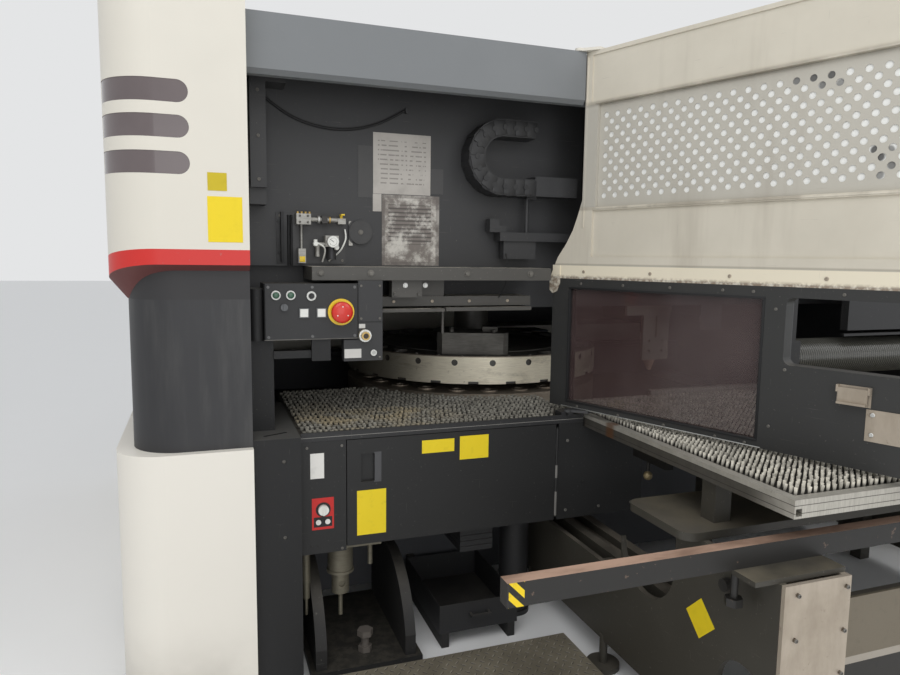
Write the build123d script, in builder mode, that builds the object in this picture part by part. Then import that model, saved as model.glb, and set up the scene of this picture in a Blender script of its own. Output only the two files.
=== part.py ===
from build123d import *
import math
import os

# Overall sizes in millimetres. The origin is the middle of the footprint on the floor,
# +X runs to the right along the front and +Y runs into the machine.
machine_width = 4200.0
roof_top = 2257.0
column_top = 2390.0
floor_clearance = 5.0
frame_bottom = 60.0
seam = 0.5
slip = 0.3
running_fit = 0.05
sheet = 4.0
plate = 20.0
cover_depth = 54.0

half_width = machine_width / 2

# Front faces, from the nearest to the farthest
column_face = -930.0
mid_column_face = -900.0
front_face = -865.0
table_face = -855.0
control_face = -800.0
wall_face = -600.0
upper_frame_face = -560.0
base_frame_face = -300.0

# Columns at both ends of the front
column_width = 416.0
column_back = -305.0
column_corner = 150.0
column_inner_corner = 20.0
column_base_top = 880.0
column_mid_top = 1362.0
column_mid_inset = 50.0
band_front_low = 1470.0
band_front_slope = 0.6
band_side_low = 1425.0
band_side_slope = (band_side_low - column_mid_top) / column_mid_inset
band_top = 1523.0
slot_height = 66.0
slot_levels = (1980.0, 1878.0, 1772.0)
slot_end = -1852.0
slot_back = -790.0

column_outer = -half_width
column_inner = column_outer + column_width

# Frame
base_top = 620.0
base_back = 1500.0
base_wall = 30.0
upper_bottom = 1300.0
upper_floor = 40.0
upper_wall = 30.0
upper_back = 1400.0
roof_thickness = 17.0
pillar_width = 355.0
pillar_front = -560.0

# Front door, drawn open. Along the leaf is "t", from the pivot to the free end, and "d" is the
# distance behind the pivot line towards the outside of the machine.
pivot_x = -502.5
pivot_y = -855.0
open_angle = 111.1
door_reach = 1174.0
door_start = 12.0
door_inset = 30.0
door_depth = 50.0
door_skin = 3.5
door_bottom = 925.0
door_split = 1428.0
door_tail = 120.0
flare_top = 1724.0
header_bottom = 2066.0
perforated_bottom = 1695.0
perforated_recess = 14.0
perforated_sheet = 2.0
stile = 28.0
perforated_left = 72.0
perforated_right = 1146.0
hole_radius = 12.2
hole_pitch = 48.0
hole_columns = 22
hole_rows = 7
first_hole_t = 100.0
lining_thickness = 18.0
window_left = -38.0
window_right = 728.0
window_bottom = 945.0
window_top = 1396.0
window_rebate = 10.0
window_thickness = 6.0
hatch_left = 792.0
hatch_right = 1140.0
hatch_bottom = 1195.0
hatch_top = 1396.0
hatch_corner = 22.0
pivot_pin = 8.0
pivot_arm = 10.0
pivot_boss = 16.0

door_line = Plane(
    origin=(pivot_x, pivot_y, 0),
    x_dir=(-math.cos(math.radians(open_angle)), -math.sin(math.radians(open_angle)), 0),
    z_dir=(0, 0, 1),
)
door_inner = door_inset
door_outer = door_inset + door_depth
front_reach = -door_line.from_local_coords((door_reach, door_inner, 0)).Y
rear_face = front_reach

# Turrets
turret_x = -480.0
turret_y = 250.0
turret_radius = 650.0
turret_band = 10.0
upper_turret_bottom = 945.0
upper_turret_top = 1065.0
lower_turret_bottom = 780.0
lower_turret_top = 900.0
stations = 24
first_station = -87.5
station_radius = 560.0
locating_hole = 14.0
locating_hole_level = 1040.0
locating_hole_depth = 8.0
shaft_radius = 90.0
punch_head = 34.0
punch_head_height = 12.0
die_height = 6.0

# Tables
table_top = 902.0
table_plate_top = 884.0
table_plate_bottom = 870.0
table_left = -1525.0
table_right = -432.0
table_back = -60.0
turret_opening = 668.0
tuft_top = 904.0
tuft_pitch = 30.0
tuft_width = 9.0
side_table_left = -424.0
side_table_right = 1480.0
side_table_front = -1885.0
side_table_back = -590.0
side_table_top = 900.0
side_table_bottom = 850.0
side_table_under = 866.0
side_table_web = 880.0
side_profile = 30.0
side_tuft_top = 918.0

# Skirt under the main table
skirt_bottom = 485.0
skirt_hinge_x = -545.0
skirt_thickness = 18.0
hinge_barrel = 5.0
hinge_pin = 2.5

# Side table base
side_plate_x = -470.0
right_plate_x = 1380.0
side_plate_front = -1904.0
side_plate_top = 690.0
side_plate_bottom = 110.0
side_plate_back = -310.0
side_plate_low_top = 400.0
front_post_right = -246.0

# Throat fittings
box_left = -1634.0
box_right = -1313.0
box_bottom = 1215.0
box_top = 1408.0
ledge_bottom = 1419.0
ledge_top = 1466.0
beam_bottom = 2070.0
beam_back = -700.0
fitting_left = box_right + 2 * seam
fitting_right = -1225.0
fitting_bottom = 1135.0
fitting_face = -792.0


def span(start, length):
    """The two limits of a stretch that starts at one value and has a length."""
    return (start, start + length)


def block(x_span, y_span, z_span, mode=Mode.ADD):
    """A rectangular block between three pairs of limits, in the builder that is open."""
    spans = (x_span, y_span, z_span)
    middle = tuple((low + high) / 2 for low, high in spans)
    size = tuple(high - low for low, high in spans)
    with Locations(middle):
        Box(*size, mode=mode)


def rod(radius, start, length, axis="z", mode=Mode.ADD, small_radius=None):
    """A round bar or cone that grows from a point along an axis, in the builder that is open."""
    turns = {"x": (0, 90, 0), "-y": (90, 0, 0), "y": (-90, 0, 0), "z": (0, 0, 0)}
    upright = (Align.CENTER, Align.CENTER, Align.MIN)
    with Locations(Location(start, turns[axis])):
        if small_radius is None:
            Cylinder(radius, length, align=upright, mode=mode)
        else:
            Cone(radius, small_radius, length, align=upright, mode=mode)


def door_block(t_span, d_span, z_span, mode=Mode.ADD):
    """A block in the door's own directions, in the builder that is open."""
    middle = tuple((low + high) / 2 for low, high in (t_span, d_span, z_span))
    with Locations(door_line * Location(middle)):
        Box(t_span[1] - t_span[0], d_span[1] - d_span[0], z_span[1] - z_span[0], mode=mode)


def door_face(d):
    """A vertical plane on the door at a distance d, seen from inside: x along the leaf, y up."""
    return Plane(
        origin=door_line.from_local_coords((0, d, 0)),
        x_dir=door_line.x_dir,
        z_dir=-door_line.y_dir,
    )


def column_plan(outer_inset, front, wall):
    """The plan of a cover round the left front column, or of its hollow, which is open behind."""
    left = column_outer + outer_inset + wall
    right = column_inner - wall
    back = column_back + 2 * wall
    with BuildSketch(mode=Mode.PRIVATE) as plan:
        with Locations(((left + right) / 2, (front + wall + back) / 2)):
            Rectangle(right - left, back - front - wall)
        corners = plan.vertices().group_by(Axis.Y)[0].sort_by(Axis.X)
        fillet(corners[0], column_corner - wall)
        fillet(corners[1], column_inner_corner - wall)
    return plan.sketch


# Frame: a welded base with two pillars, and a bridge over the throat
frame_side = -column_inner + sheet + 2 * seam
pillar_outer = half_width - column_mid_inset - sheet - seam
upper_top = roof_top - roof_thickness - seam
foot_pad_radius = 60.0
foot_pad_height = 20.0
foot_bolt_radius = 15.0
pillar_feet_x = (pillar_outer + frame_side) / 2
cross_beam_x = (-1500.0, 0.0, 1500.0)
cross_beam_width = 120.0
frame_feet = [(x, y) for x in cross_beam_x for y in (-200.0, 1400.0)]
frame_feet += [(x, y) for x in (-pillar_feet_x, pillar_feet_x) for y in (-450.0, 1400.0)]
carriage_rail_x = (-1500.0, 1440.0)
rail_width = 60.0
carriage_rail_height = 60.0
bearing_wall = 60.0
bearing_height = 60.0

with BuildPart() as base_frame:
    block((-frame_side, frame_side), (base_frame_face, base_back), (frame_bottom, base_top))
    block(
        (-frame_side + base_wall, frame_side - base_wall),
        (base_frame_face + base_wall, base_back - base_wall),
        (frame_bottom, base_top - base_wall),
        mode=Mode.SUBTRACT,
    )
    for beam_x in cross_beam_x:
        block(
            span(beam_x - cross_beam_width / 2, cross_beam_width),
            (base_frame_face, base_back),
            span(frame_bottom, cross_beam_width),
        )
    for rail_x in carriage_rail_x:
        block(span(rail_x, rail_width), (700.0, 1480.0), (base_top, base_top + carriage_rail_height))
    rod(shaft_radius + bearing_wall, (turret_x, turret_y, base_top), bearing_height)
    rod(shaft_radius + running_fit, (turret_x, turret_y, frame_bottom), base_top, mode=Mode.SUBTRACT)
    for inner, outer in ((-pillar_outer, -frame_side), (frame_side, pillar_outer)):
        block((inner, outer), (pillar_front, base_back), (frame_bottom, upper_top))
    for foot_x, foot_y in frame_feet:
        rod(foot_pad_radius, (foot_x, foot_y, 0), foot_pad_height)
        rod(foot_bolt_radius, (foot_x, foot_y, foot_pad_height), frame_bottom - foot_pad_height)

bridge_side = -column_inner - 2 * seam
ram_x = 60.0
ram_y = turret_y
striker_radius = 45.0
arm_left = 362.0
arm_right = 480.0
arm_bottom = 1180.0
arm_front = -540.0
arm_back = 300.0

with BuildPart() as upper_frame:
    block((-bridge_side, bridge_side), (upper_frame_face, upper_back), (upper_bottom, upper_top))
    block((-frame_side, frame_side), (base_frame_face, upper_back), (upper_bottom, upper_top))
    block(
        (-bridge_side + upper_wall, bridge_side - upper_wall),
        (upper_frame_face + upper_wall, upper_back - upper_wall),
        (upper_bottom + upper_floor, upper_top),
        mode=Mode.SUBTRACT,
    )
    rod(shaft_radius + bearing_wall, (turret_x, turret_y, upper_bottom - bearing_height / 2), bearing_height / 2)
    rod(
        shaft_radius + running_fit,
        (turret_x, turret_y, upper_bottom - bearing_height / 2),
        upper_floor + bearing_height / 2,
        mode=Mode.SUBTRACT,
    )
    rod(striker_radius + running_fit, (ram_x, ram_y, upper_bottom), upper_floor, mode=Mode.SUBTRACT)
    block((arm_left, arm_right), (arm_front, arm_back), (arm_bottom, upper_bottom))
    block((arm_left - 8.0, arm_left), (arm_front, arm_back), (1220.0, 1250.0))

# Left column covers: pale base, dark middle, red band and pale top with three lamp slots
with BuildPart() as column_base_cover:
    with BuildSketch(Plane.XY.offset(floor_clearance)):
        add(column_plan(0, column_face, 0))
    extrude(amount=column_base_top - floor_clearance)
    with BuildSketch(Plane.XY.offset(floor_clearance)):
        add(column_plan(0, column_face, sheet))
    extrude(amount=column_base_top - floor_clearance - sheet, mode=Mode.SUBTRACT)
    with BuildSketch(Plane.XY.offset(column_base_top)):
        add(column_plan(column_mid_inset, mid_column_face, sheet))
    extrude(amount=-2 * sheet, mode=Mode.SUBTRACT)

with BuildPart() as column_mid_cover:
    with BuildSketch(Plane.XY.offset(column_base_top)):
        add(column_plan(column_mid_inset, mid_column_face, 0))
    extrude(amount=column_mid_top - column_base_top)
    with BuildSketch(Plane.XY.offset(column_base_top)):
        add(column_plan(column_mid_inset, mid_column_face, sheet))
    extrude(amount=column_mid_top - column_base_top, mode=Mode.SUBTRACT)

def slot_sketch(margin):
    """Three long slots with round right ends, on a plane behind the front of the column."""
    left = column_outer - column_corner
    with BuildSketch(Plane.XZ.offset(-slot_back), mode=Mode.PRIVATE) as slots:
        for level in slot_levels:
            with Locations(((left + slot_end) / 2, level)):
                SlotOverall(slot_end - left - 2 * margin, slot_height - 2 * margin)
    return slots.sketch


slot_reach = column_corner + slot_back - column_face

corner_x = column_outer + column_corner
corner_y = column_face + column_corner
corner_steps = 6


def under_slope(low, slope):
    """The outline of what is cut away under the band, as distances inwards and levels."""
    reach = 1.5 * column_mid_inset
    bottom = column_mid_top - reach
    return [(-1.0, low + slope), (reach, low - slope * reach), (reach, bottom), (-1.0, bottom)]


def corner_section(step):
    """One upright section through the corner, on the way from the side to the front."""
    turn = math.pi + math.pi / 2 * step / corner_steps
    share = 1.0 + math.sin(turn)
    low = band_front_low + (band_side_low - band_front_low) * share
    slope = band_front_slope + (band_side_slope - band_front_slope) * share
    inwards = (-math.cos(turn), -math.sin(turn), 0)
    start = (corner_x - column_corner * inwards[0], corner_y - column_corner * inwards[1], 0)
    upright = Plane(origin=start, x_dir=inwards, z_dir=(-inwards[1], inwards[0], 0))
    sign = 1.0 if upright.y_dir.Z > 0 else -1.0
    with BuildSketch(upright, mode=Mode.PRIVATE) as section:
        with BuildLine():
            Polyline(*[(x, sign * z) for x, z in under_slope(low, slope)], close=True)
        make_face()
    return section.sketch


with BuildPart() as column_top_cover:
    with BuildSketch(Plane.XY.offset(column_mid_top)):
        add(column_plan(0, column_face, 0))
    extrude(amount=band_top - column_mid_top)
    with BuildSketch(Plane.YZ.offset(corner_x)):
        with BuildLine():
            front_slope = under_slope(band_front_low, band_front_slope)
            Polyline(*[(column_face + depth, z) for depth, z in front_slope], close=True)
        make_face()
    extrude(amount=column_inner - corner_x, mode=Mode.SUBTRACT)
    with BuildSketch(Plane.XZ.offset(-corner_y)):
        with BuildLine():
            side_slope = under_slope(band_side_low, band_side_slope)
            Polyline(*[(column_outer + depth, z) for depth, z in side_slope], close=True)
        make_face()
    extrude(amount=corner_y - column_back, mode=Mode.SUBTRACT)
    loft([corner_section(step) for step in range(corner_steps + 1)], mode=Mode.SUBTRACT)
    with BuildSketch(Plane.XY.offset(column_mid_top)):
        add(column_plan(column_mid_inset, mid_column_face, 0))
    extrude(amount=band_top - column_mid_top)
    with BuildSketch(Plane.XY.offset(column_mid_top)):
        add(column_plan(column_mid_inset, mid_column_face, sheet))
    extrude(amount=band_top - column_mid_top, mode=Mode.SUBTRACT)
    with BuildSketch(Plane.XY.offset(band_top)):
        add(column_plan(0, column_face, 0))
    extrude(amount=column_top - band_top)
    with BuildSketch(Plane.XY.offset(band_top)):
        add(column_plan(0, column_face, sheet))
    extrude(amount=column_top - band_top - sheet, mode=Mode.SUBTRACT)
    extrude(slot_sketch(0), amount=slot_reach, mode=Mode.SUBTRACT)

lamp_recess = 1.0
with BuildPart() as column_lamps:
    with BuildSketch(Plane.XY.offset(slot_levels[-1] - slot_height)):
        add(column_plan(lamp_recess, column_face + lamp_recess, 0))
        add(column_plan(lamp_recess, column_face + lamp_recess, sheet), mode=Mode.SUBTRACT)
    extrude(amount=slot_levels[0] - slot_levels[-1] + 2 * slot_height)
    extrude(slot_sketch(seam), amount=slot_reach, mode=Mode.INTERSECT)

# Outer covers on the sides that the photograph doesn't reach
side_cover_span = (column_back + seam, rear_face - cover_depth - seam)
rear_door_width = 900.0
rear_door_groove = 6.0

with BuildPart() as outer_covers:
    for outer, inner in ((-half_width, -half_width + cover_depth), (half_width - cover_depth, half_width)):
        block((outer, inner), side_cover_span, (frame_bottom, roof_top))
    block(
        (-half_width + sheet, half_width - sheet),
        (side_cover_span[0] + sheet, side_cover_span[1] - sheet),
        (frame_bottom + sheet, roof_top - sheet),
        mode=Mode.SUBTRACT,
    )
    with BuildSketch(Plane.XZ.offset(-side_cover_span[0])):
        with BuildLine():
            Polyline(
                (-half_width, column_base_top),
                (-half_width + column_mid_inset, column_base_top),
                (-half_width + column_mid_inset, column_mid_top),
                (-half_width, band_side_low),
                close=True,
            )
        make_face()
    extrude(amount=side_cover_span[0] - side_cover_span[1], mode=Mode.SUBTRACT)
    with BuildSketch(Plane.XZ.offset(-side_cover_span[0])):
        with BuildLine():
            Polyline(
                (-half_width, column_base_top),
                (-half_width + column_mid_inset, column_base_top),
                (-half_width + column_mid_inset, column_mid_top),
                (-half_width, band_side_low),
                (-half_width, band_side_low + 2 * sheet),
                (-half_width + cover_depth, column_mid_top + sheet),
                (-half_width + cover_depth, column_base_top - sheet),
                (-half_width, column_base_top - sheet),
                close=True,
            )
        make_face()
    extrude(amount=side_cover_span[0] - side_cover_span[1])
    block((-half_width, half_width), (rear_face - cover_depth, rear_face), (frame_bottom, roof_top))
    block(
        (-half_width + sheet, half_width - sheet),
        (rear_face - cover_depth, rear_face - sheet),
        (frame_bottom + sheet, roof_top - sheet),
        mode=Mode.SUBTRACT,
    )
    for groove_x in (-rear_door_width, 0.0, rear_door_width):
        block(
            span(groove_x, rear_door_groove),
            (rear_face - sheet / 2, rear_face),
            (frame_bottom, roof_top),
            mode=Mode.SUBTRACT,
        )
    block(
        (-bridge_side, bridge_side),
        (beam_back + seam, column_back + seam),
        (roof_top - roof_thickness, roof_top),
    )
    block(
        (-half_width + cover_depth + seam, half_width - cover_depth - seam),
        (column_back + seam, rear_face - cover_depth - seam),
        (roof_top - roof_thickness, roof_top),
    )
    with BuildSketch(Plane.XY.offset(floor_clearance)):
        add(mirror(column_plan(0, column_face, 0), about=Plane.YZ, mode=Mode.PRIVATE))
    extrude(amount=column_top - floor_clearance)
    with BuildSketch(Plane.XY.offset(floor_clearance)):
        add(mirror(column_plan(0, column_face, sheet), about=Plane.YZ, mode=Mode.PRIVATE))
    extrude(amount=column_top - floor_clearance - sheet, mode=Mode.SUBTRACT)

# Front beam over the throat, and the fixed cover to the right of the door
cover_left = -350.0
cover_bottom = 1480.0
cover_low_left = 900.0
cover_low_bottom = 1200.0
beam_lip = 45.0
front_cover_depth = 40.0
hose_left = 660.0
hose_right = bridge_side - seam
hose_y = -750.0
hose_z = 1070.0

with BuildPart() as front_beam:
    with BuildSketch(Plane.YZ.offset(-bridge_side)):
        with BuildLine():
            Polyline(
                (front_face, beam_bottom + beam_lip / 3),
                (front_face, roof_top),
                (beam_back, roof_top),
                (beam_back, beam_bottom + beam_lip),
                (front_face + beam_lip, beam_bottom),
                (front_face + beam_lip / 3, beam_bottom),
                close=True,
            )
        make_face()
    extrude(amount=2 * bridge_side)
    block(
        (pivot_x + 25.0, pivot_x + 95.0),
        (front_face, pivot_y + 25.0),
        (beam_bottom, roof_top),
        mode=Mode.SUBTRACT,
    )
    rod(pivot_pin, (pivot_x, pivot_y, roof_top), pivot_arm + 2 * seam)

with BuildPart() as right_front_cover:
    with BuildSketch(Plane.XZ.offset(-front_face - front_cover_depth)):
        with BuildLine():
            Polyline(
                (cover_left, cover_bottom),
                (cover_left, beam_bottom - seam),
                (bridge_side, beam_bottom - seam),
                (bridge_side, cover_low_bottom),
                (cover_low_left, cover_low_bottom),
                (cover_low_left, cover_bottom),
                close=True,
            )
        make_face()
    extrude(amount=front_cover_depth)
    block((hose_left - 100.0, hose_left), (hose_y - 90.0, hose_y + 90.0), (hose_z - 88.0, hose_z + 88.0))
    block((hose_left - 70.0, hose_left - 30.0), (hose_y - 90.0, hose_y - 80.0), (hose_z + 88.0, cover_bottom))
    block((hose_left - 70.0, hose_left - 30.0), (front_face, hose_y - 80.0), span(cover_bottom, 30.0))
    block((cover_low_left, hose_right), (-850.0, -835.0), (1172.0, 1184.0))
    block((hose_right - 60.0, hose_right), (-850.0, -835.0), (1184.0, cover_low_bottom))

# Throat wall with its side flanges
wall_right = -330.0
with BuildPart() as throat_wall:
    block((-bridge_side, wall_right), (wall_face, upper_frame_face), (ledge_top, roof_top - roof_thickness - seam))
    block(
        (-bridge_side + sheet, wall_right - sheet),
        (wall_face + sheet, upper_frame_face),
        (ledge_top + sheet, roof_top - roof_thickness - seam - sheet),
        mode=Mode.SUBTRACT,
    )

# Ledges under the throat wall, and the sensor block between them
sensor_left = -1180.0
sensor_width = 114.0
ledge_right = -552.0
ledge_front = -778.0
rail_left = -1212.0
with BuildPart() as throat_ledges:
    block((-1470.0, ledge_right), (ledge_front, upper_frame_face), (ledge_bottom, ledge_top - seam))
    block((rail_left, -600.0), (-700.0, upper_frame_face), (1320.0, 1356.0))
    block((rail_left, -972.0), (-740.0, upper_frame_face), (1301.0, 1312.0))
    block((-960.0, -604.0), (-720.0, upper_frame_face), (1301.0, 1314.0))
    block((-1060.0, -960.0), (-690.0, -640.0), (1356.0, ledge_bottom))
    rod(5.0, (-967.0, -700.0, 1215.0), 1301.0 - 1215.0)
    block(span(sensor_left, sensor_width), (-752.0, -702.0), (1356.0, ledge_bottom))
    for sensor_x in (sensor_left + 12.0, sensor_left + sensor_width - 12.0):
        rod(7.0, (sensor_x, -752.0, 1368.0), 8.0, axis="-y")

# Papers, tape and small plates fixed to the standing covers
paper = 1.0
tag = 1.0
with BuildPart() as sheets_and_plates:
    block((-1214.0, -989.0), (wall_face - paper, wall_face), (1738.0, 1962.0))
    block((-1218.0, -1182.0), (wall_face - paper, wall_face), (1672.0, 1737.0))
    block((-1180.0, -952.0), (wall_face - paper, wall_face), (1470.0, 1736.0))
    block((-1271.0, -1215.0), (wall_face - paper, wall_face), (1722.0, 1911.0))
    block((-988.0, -937.0), (wall_face - paper, wall_face), (1745.0, 1840.0))
    block((-1804.0, -1748.0), (column_face - tag, column_face), (1695.0, 1749.0))
    block((-1806.0, -1704.0), (column_face - tag, column_face), (1540.0, 1678.0))
    block((-1362.0, -1302.0), (fitting_face - tag, fitting_face), (1146.0, 1178.0))
    block((-1310.0, -1288.0), (fitting_face - tag, fitting_face), (1251.0, 1266.0))
    with BuildSketch(Plane.YZ.offset(side_plate_x - tag)):
        with Locations(Location((-1617.0, 455.0), 45.0)):
            Rectangle(88.0, 88.0)
    extrude(amount=tag)
    block((-1494.0, -1447.0), (table_face - tag, table_face), (740.0, 829.0))
    block((-1490.0, -1414.0), (table_face - tag, table_face), (557.0, 670.0))
    for lug_x in (-1468.0, -1436.0):
        rod(9.0, (lug_x, table_face - tag, 584.0), 4.0, axis="-y")

# Cable post at the left of the wall, with the lead that hangs from it
post_left = -1662.0
post_right = -1609.0
post_front = -700.0
lead_radius = 5.0
lead_y = wall_face - lead_radius - slip
with BuildPart() as cable_post:
    block((post_left, post_right), (post_front, post_front + 60.0), (1733.0, 2084.0))
    block((post_left, -1540.0), (post_front, wall_face), (2084.0, 2111.0))
    block((post_left - 3.0, post_right), (post_front + 20.0, wall_face), (1677.0, 1733.0))
    for clip_x, clip_z in ((-1616.0, 2055.0), (-1093.0, 2046.0)):
        block(span(clip_x, 10.0), (wall_face - 14.0, wall_face), (clip_z - 9.0, clip_z + 9.0))

lead_points = [
    (-1603.0, lead_y, 2052.0),
    (-1548.0, lead_y, 2012.0),
    (-1490.0, lead_y, 1984.0),
    (-1421.0, lead_y, 1966.0),
    (-1352.0, lead_y, 1960.0),
    (-1283.0, lead_y, 1966.0),
    (-1214.0, lead_y, 1984.0),
    (-1152.0, lead_y, 2012.0),
    (-1096.0, lead_y, 2046.0),
]


def cord_radii(points):
    """The largest even arc at each corner of a route, from the two runs that meet there."""
    radii = []
    for before, here, after in zip(points, points[1:], points[2:]):
        first = Vector(*here) - Vector(*before)
        second = Vector(*after) - Vector(*here)
        half_turn = math.radians(first.get_angle(second)) / 2
        radii.append(0.45 * min(first.length, second.length) / math.tan(half_turn))
    return radii


def cord(points, radius):
    """A round lead along straight runs that tangent arcs join."""
    radii = cord_radii(points)
    print("radii", [round(value) for value in radii])
    with BuildPart() as lead:
        with BuildLine() as route:
            FilletPolyline(*points, radius=radii)
        with BuildSketch(Plane(origin=route.line @ 0, z_dir=route.line % 0)):
            Circle(radius)
        sweep()
    return lead


wall_lead = cord(lead_points, lead_radius)

# Air service unit on the wall
air_left = -1570.0
air_right = -1320.0
air_bottom = 1474.0
air_top = 1657.0
air_plate = 4.0
air_face = wall_face - air_plate
valve_x = -1339.0
valve_z = 1633.0
regulator_x = -1377.0
regulator_z = 1554.0
tube_radius = 4.0
flap_x = -1264.0
flap_z = 1592.0
with BuildPart() as air_unit:
    block((air_left, air_right), (air_face, wall_face), (air_bottom, air_top))
    block((-1556.0, -1546.0), (air_face - 26.0, air_face), (1480.0, air_top))
    for bolt_z in (1513.0, 1624.0):
        rod(6.0, (-1561.0, air_face, bolt_z), 8.0, axis="-y")
    block((-1504.0, -1453.0), (air_face - 46.0, air_face), (1614.0, 1652.0))
    rod(8.0, (-1453.0, air_face - 23.0, valve_z), valve_x - 12.0 + 1453.0, axis="x")
    block((-1412.0, -1392.0), (air_face - 36.0, air_face - 10.0), (valve_z - 13.0, valve_z + 13.0))
    block((valve_x - 14.0, valve_x + 14.0), (air_face - 34.0, air_face), (valve_z - 14.0, valve_z + 6.0))
    rod(17.0, (regulator_x, air_face - 24.0, 1490.0), 46.0)
    block((regulator_x - 24.0, regulator_x + 24.0), (air_face - 44.0, air_face), (1536.0, 1576.0))
    rod(19.0, (regulator_x, air_face - 44.0, regulator_z), 12.0, axis="-y")
    rod(8.0, (regulator_x - 24.0 - 26.0, air_face - 24.0, regulator_z - 10.0), 26.0, axis="x")
    rod(8.0, (regulator_x - 50.0, air_face - 24.0, 1500.0), regulator_z - 2.0 - 1500.0)
    block((-1496.0, -1470.0), (air_face - 30.0, air_face), (1476.0, 1528.0))

    for tube_x in (-1528.0, -1518.0):
        rod(tube_radius, (tube_x, air_face - tube_radius, ledge_top), 1648.0 - ledge_top)
    rod(tube_radius, (-1483.0, air_face - 12.0, 1528.0), 1614.0 - 1528.0)
    rod(44.0, (flap_x, wall_face, flap_z), 12.0, axis="-y")
    block((flap_x - 44.0, flap_x - 30.0), (wall_face - 8.0, wall_face), (flap_z - 50.0, flap_z + 40.0))

with BuildPart() as air_valve_handle:
    rod(5.0, (valve_x, air_face - 20.0, valve_z + 6.0 + slip), 10.0)
    block((valve_x - 6.0, valve_x + 6.0), (air_face - 56.0, air_face - 12.0), (1649.0, 1654.0))

# Control box on its post, with lamps, switches and the stop button
box_depth = 150.0
box_back = control_face + box_depth
plinth_left = column_inner + seam
plinth_right = -1530.0
plinth_top = 900.0
with BuildPart() as side_plinth:
    block(
        (plinth_left, plinth_right),
        (mid_column_face, base_frame_face - seam),
        (floor_clearance, plinth_top),
    )
    for hole_z in (822.0, 560.0):
        rod(7.0, (-1586.0, mid_column_face, hole_z), 20.0, axis="y", mode=Mode.SUBTRACT)
    with BuildSketch(Plane.XY.offset(plinth_top)):
        with Locations(Location((-1606.0, -830.0), 25.0)):
            SlotOverall(90.0, 12.0)
    extrude(amount=-6.0, mode=Mode.SUBTRACT)
    block((plinth_left, -1602.0), (-770.0, -650.0), (plinth_top, box_bottom))
    block((plinth_left, box_left - slip), (-776.0, -650.0), (box_bottom, 1390.0))
    with BuildSketch(Plane.XY.offset(box_bottom)):
        with Locations(((plinth_left + box_left) / 2, -776.0)):
            Circle((box_left - plinth_left) / 2 - slip)
    extrude(amount=1390.0 - box_bottom)
    block((-1475.0, -1410.0), (-790.0, -770.0), (1140.0, box_bottom))
    block((-1602.0, -1475.0), (-778.0, -770.0), (1150.0, 1176.0))

stop_x = -1375.0
stop_z = 1310.0
stop_disc_radius = 46.0
stop_disc = 4.0
stop_stem = 14.0
stop_gap = 8.0
mushroom_radius = 37.0
mushroom_height = 26.0
stop_travel = 6.0
stop_plate_face = control_face - stop_disc

lamp_points = ((-1595.0, 1369.0), (-1546.0, 1369.0))
key_point = (-1477.0, 1366.0)
selector_point = (-1568.0, 1328.0)
button_points = ((-1502.0, 1308.0), (-1443.0, 1308.0))
bezel_radius = 16.0
bezel = 3.0
button_side = 28.0
button_proud = 7.0
button_travel = 4.0
button_frame = 3.0
screw_radius = 5.0

pocket_half = button_side / 2 + slip
pocket_depth = button_travel + 4.0

with BuildPart() as control_box:
    block((box_left, box_right), (control_face, box_back), (box_bottom, box_top))
    edges = control_box.edges().filter_by(Axis.Z)
    fillet(edges, 6.0)
    block(
        (box_left + 60.0, box_right - 60.0),
        (box_back, upper_frame_face),
        (box_top - 60.0, box_top - 20.0),
    )
    rod(stop_stem + slip, (stop_x, control_face, stop_z), 30.0, axis="y", mode=Mode.SUBTRACT)
    for button_x, button_z in button_points:
        block(
            (button_x - pocket_half, button_x + pocket_half),
            (control_face, control_face + pocket_depth),
            (button_z - pocket_half, button_z + pocket_half),
            mode=Mode.SUBTRACT,
        )

with BuildPart() as control_box_trim:
    for lamp_x, lamp_z in lamp_points:
        rod(bezel_radius, (lamp_x, control_face, lamp_z), bezel, axis="-y")
        rod(bezel_radius - 5.0, (lamp_x, control_face - bezel, lamp_z), 3.0, axis="-y")
    rod(bezel_radius, (key_point[0], control_face, key_point[1]), bezel, axis="-y")
    for button_x, button_z in button_points:
        outer = button_side / 2 + button_frame
        inner = pocket_half
        block(
            (button_x - outer, button_x + outer),
            (control_face - bezel, control_face),
            (button_z - outer, button_z + outer),
        )
        block(
            (button_x - inner, button_x + inner),
            (control_face - bezel, control_face),
            (button_z - inner, button_z + inner),
            mode=Mode.SUBTRACT,
        )
    for screw_x in (box_left + 14.0, (box_left + box_right) / 2, box_right - 14.0):
        for screw_z in (box_bottom + 12.0, box_top - 12.0):
            rod(screw_radius, (screw_x, control_face, screw_z), 2.0, axis="-y")
    rod(stop_disc_radius, (stop_x, control_face, stop_z), stop_disc, axis="-y")
    rod(stop_stem + slip + 4.0, (stop_x, stop_plate_face, stop_z), stop_gap - stop_travel, axis="-y")
    rod(
        stop_stem + slip,
        (stop_x, control_face, stop_z),
        stop_disc + stop_gap,
        axis="-y",
        mode=Mode.SUBTRACT,
    )

with BuildPart() as emergency_stop_button:
    rod(stop_stem, (stop_x, control_face + 10.0, stop_z), stop_gap + stop_disc + 11.0, axis="-y")
    rod(
        mushroom_radius - 5.0,
        (stop_x, stop_plate_face - stop_gap - slip, stop_z),
        mushroom_height,
        axis="-y",
    )
    rod(
        mushroom_radius,
        (stop_x, stop_plate_face - stop_gap - slip - mushroom_height / 2, stop_z),
        mushroom_height / 2,
        axis="-y",
        small_radius=mushroom_radius - 8.0,
    )


def push_button(point):
    """A square push button that stands proud of the control box."""
    with BuildPart() as button:
        block(
            (point[0] - button_side / 2, point[0] + button_side / 2),
            (control_face - button_proud, control_face + 2.0),
            (point[1] - button_side / 2, point[1] + button_side / 2),
        )
        fillet(button.faces().sort_by(Axis.Y)[0].edges(), 2.0)
    return button


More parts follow.
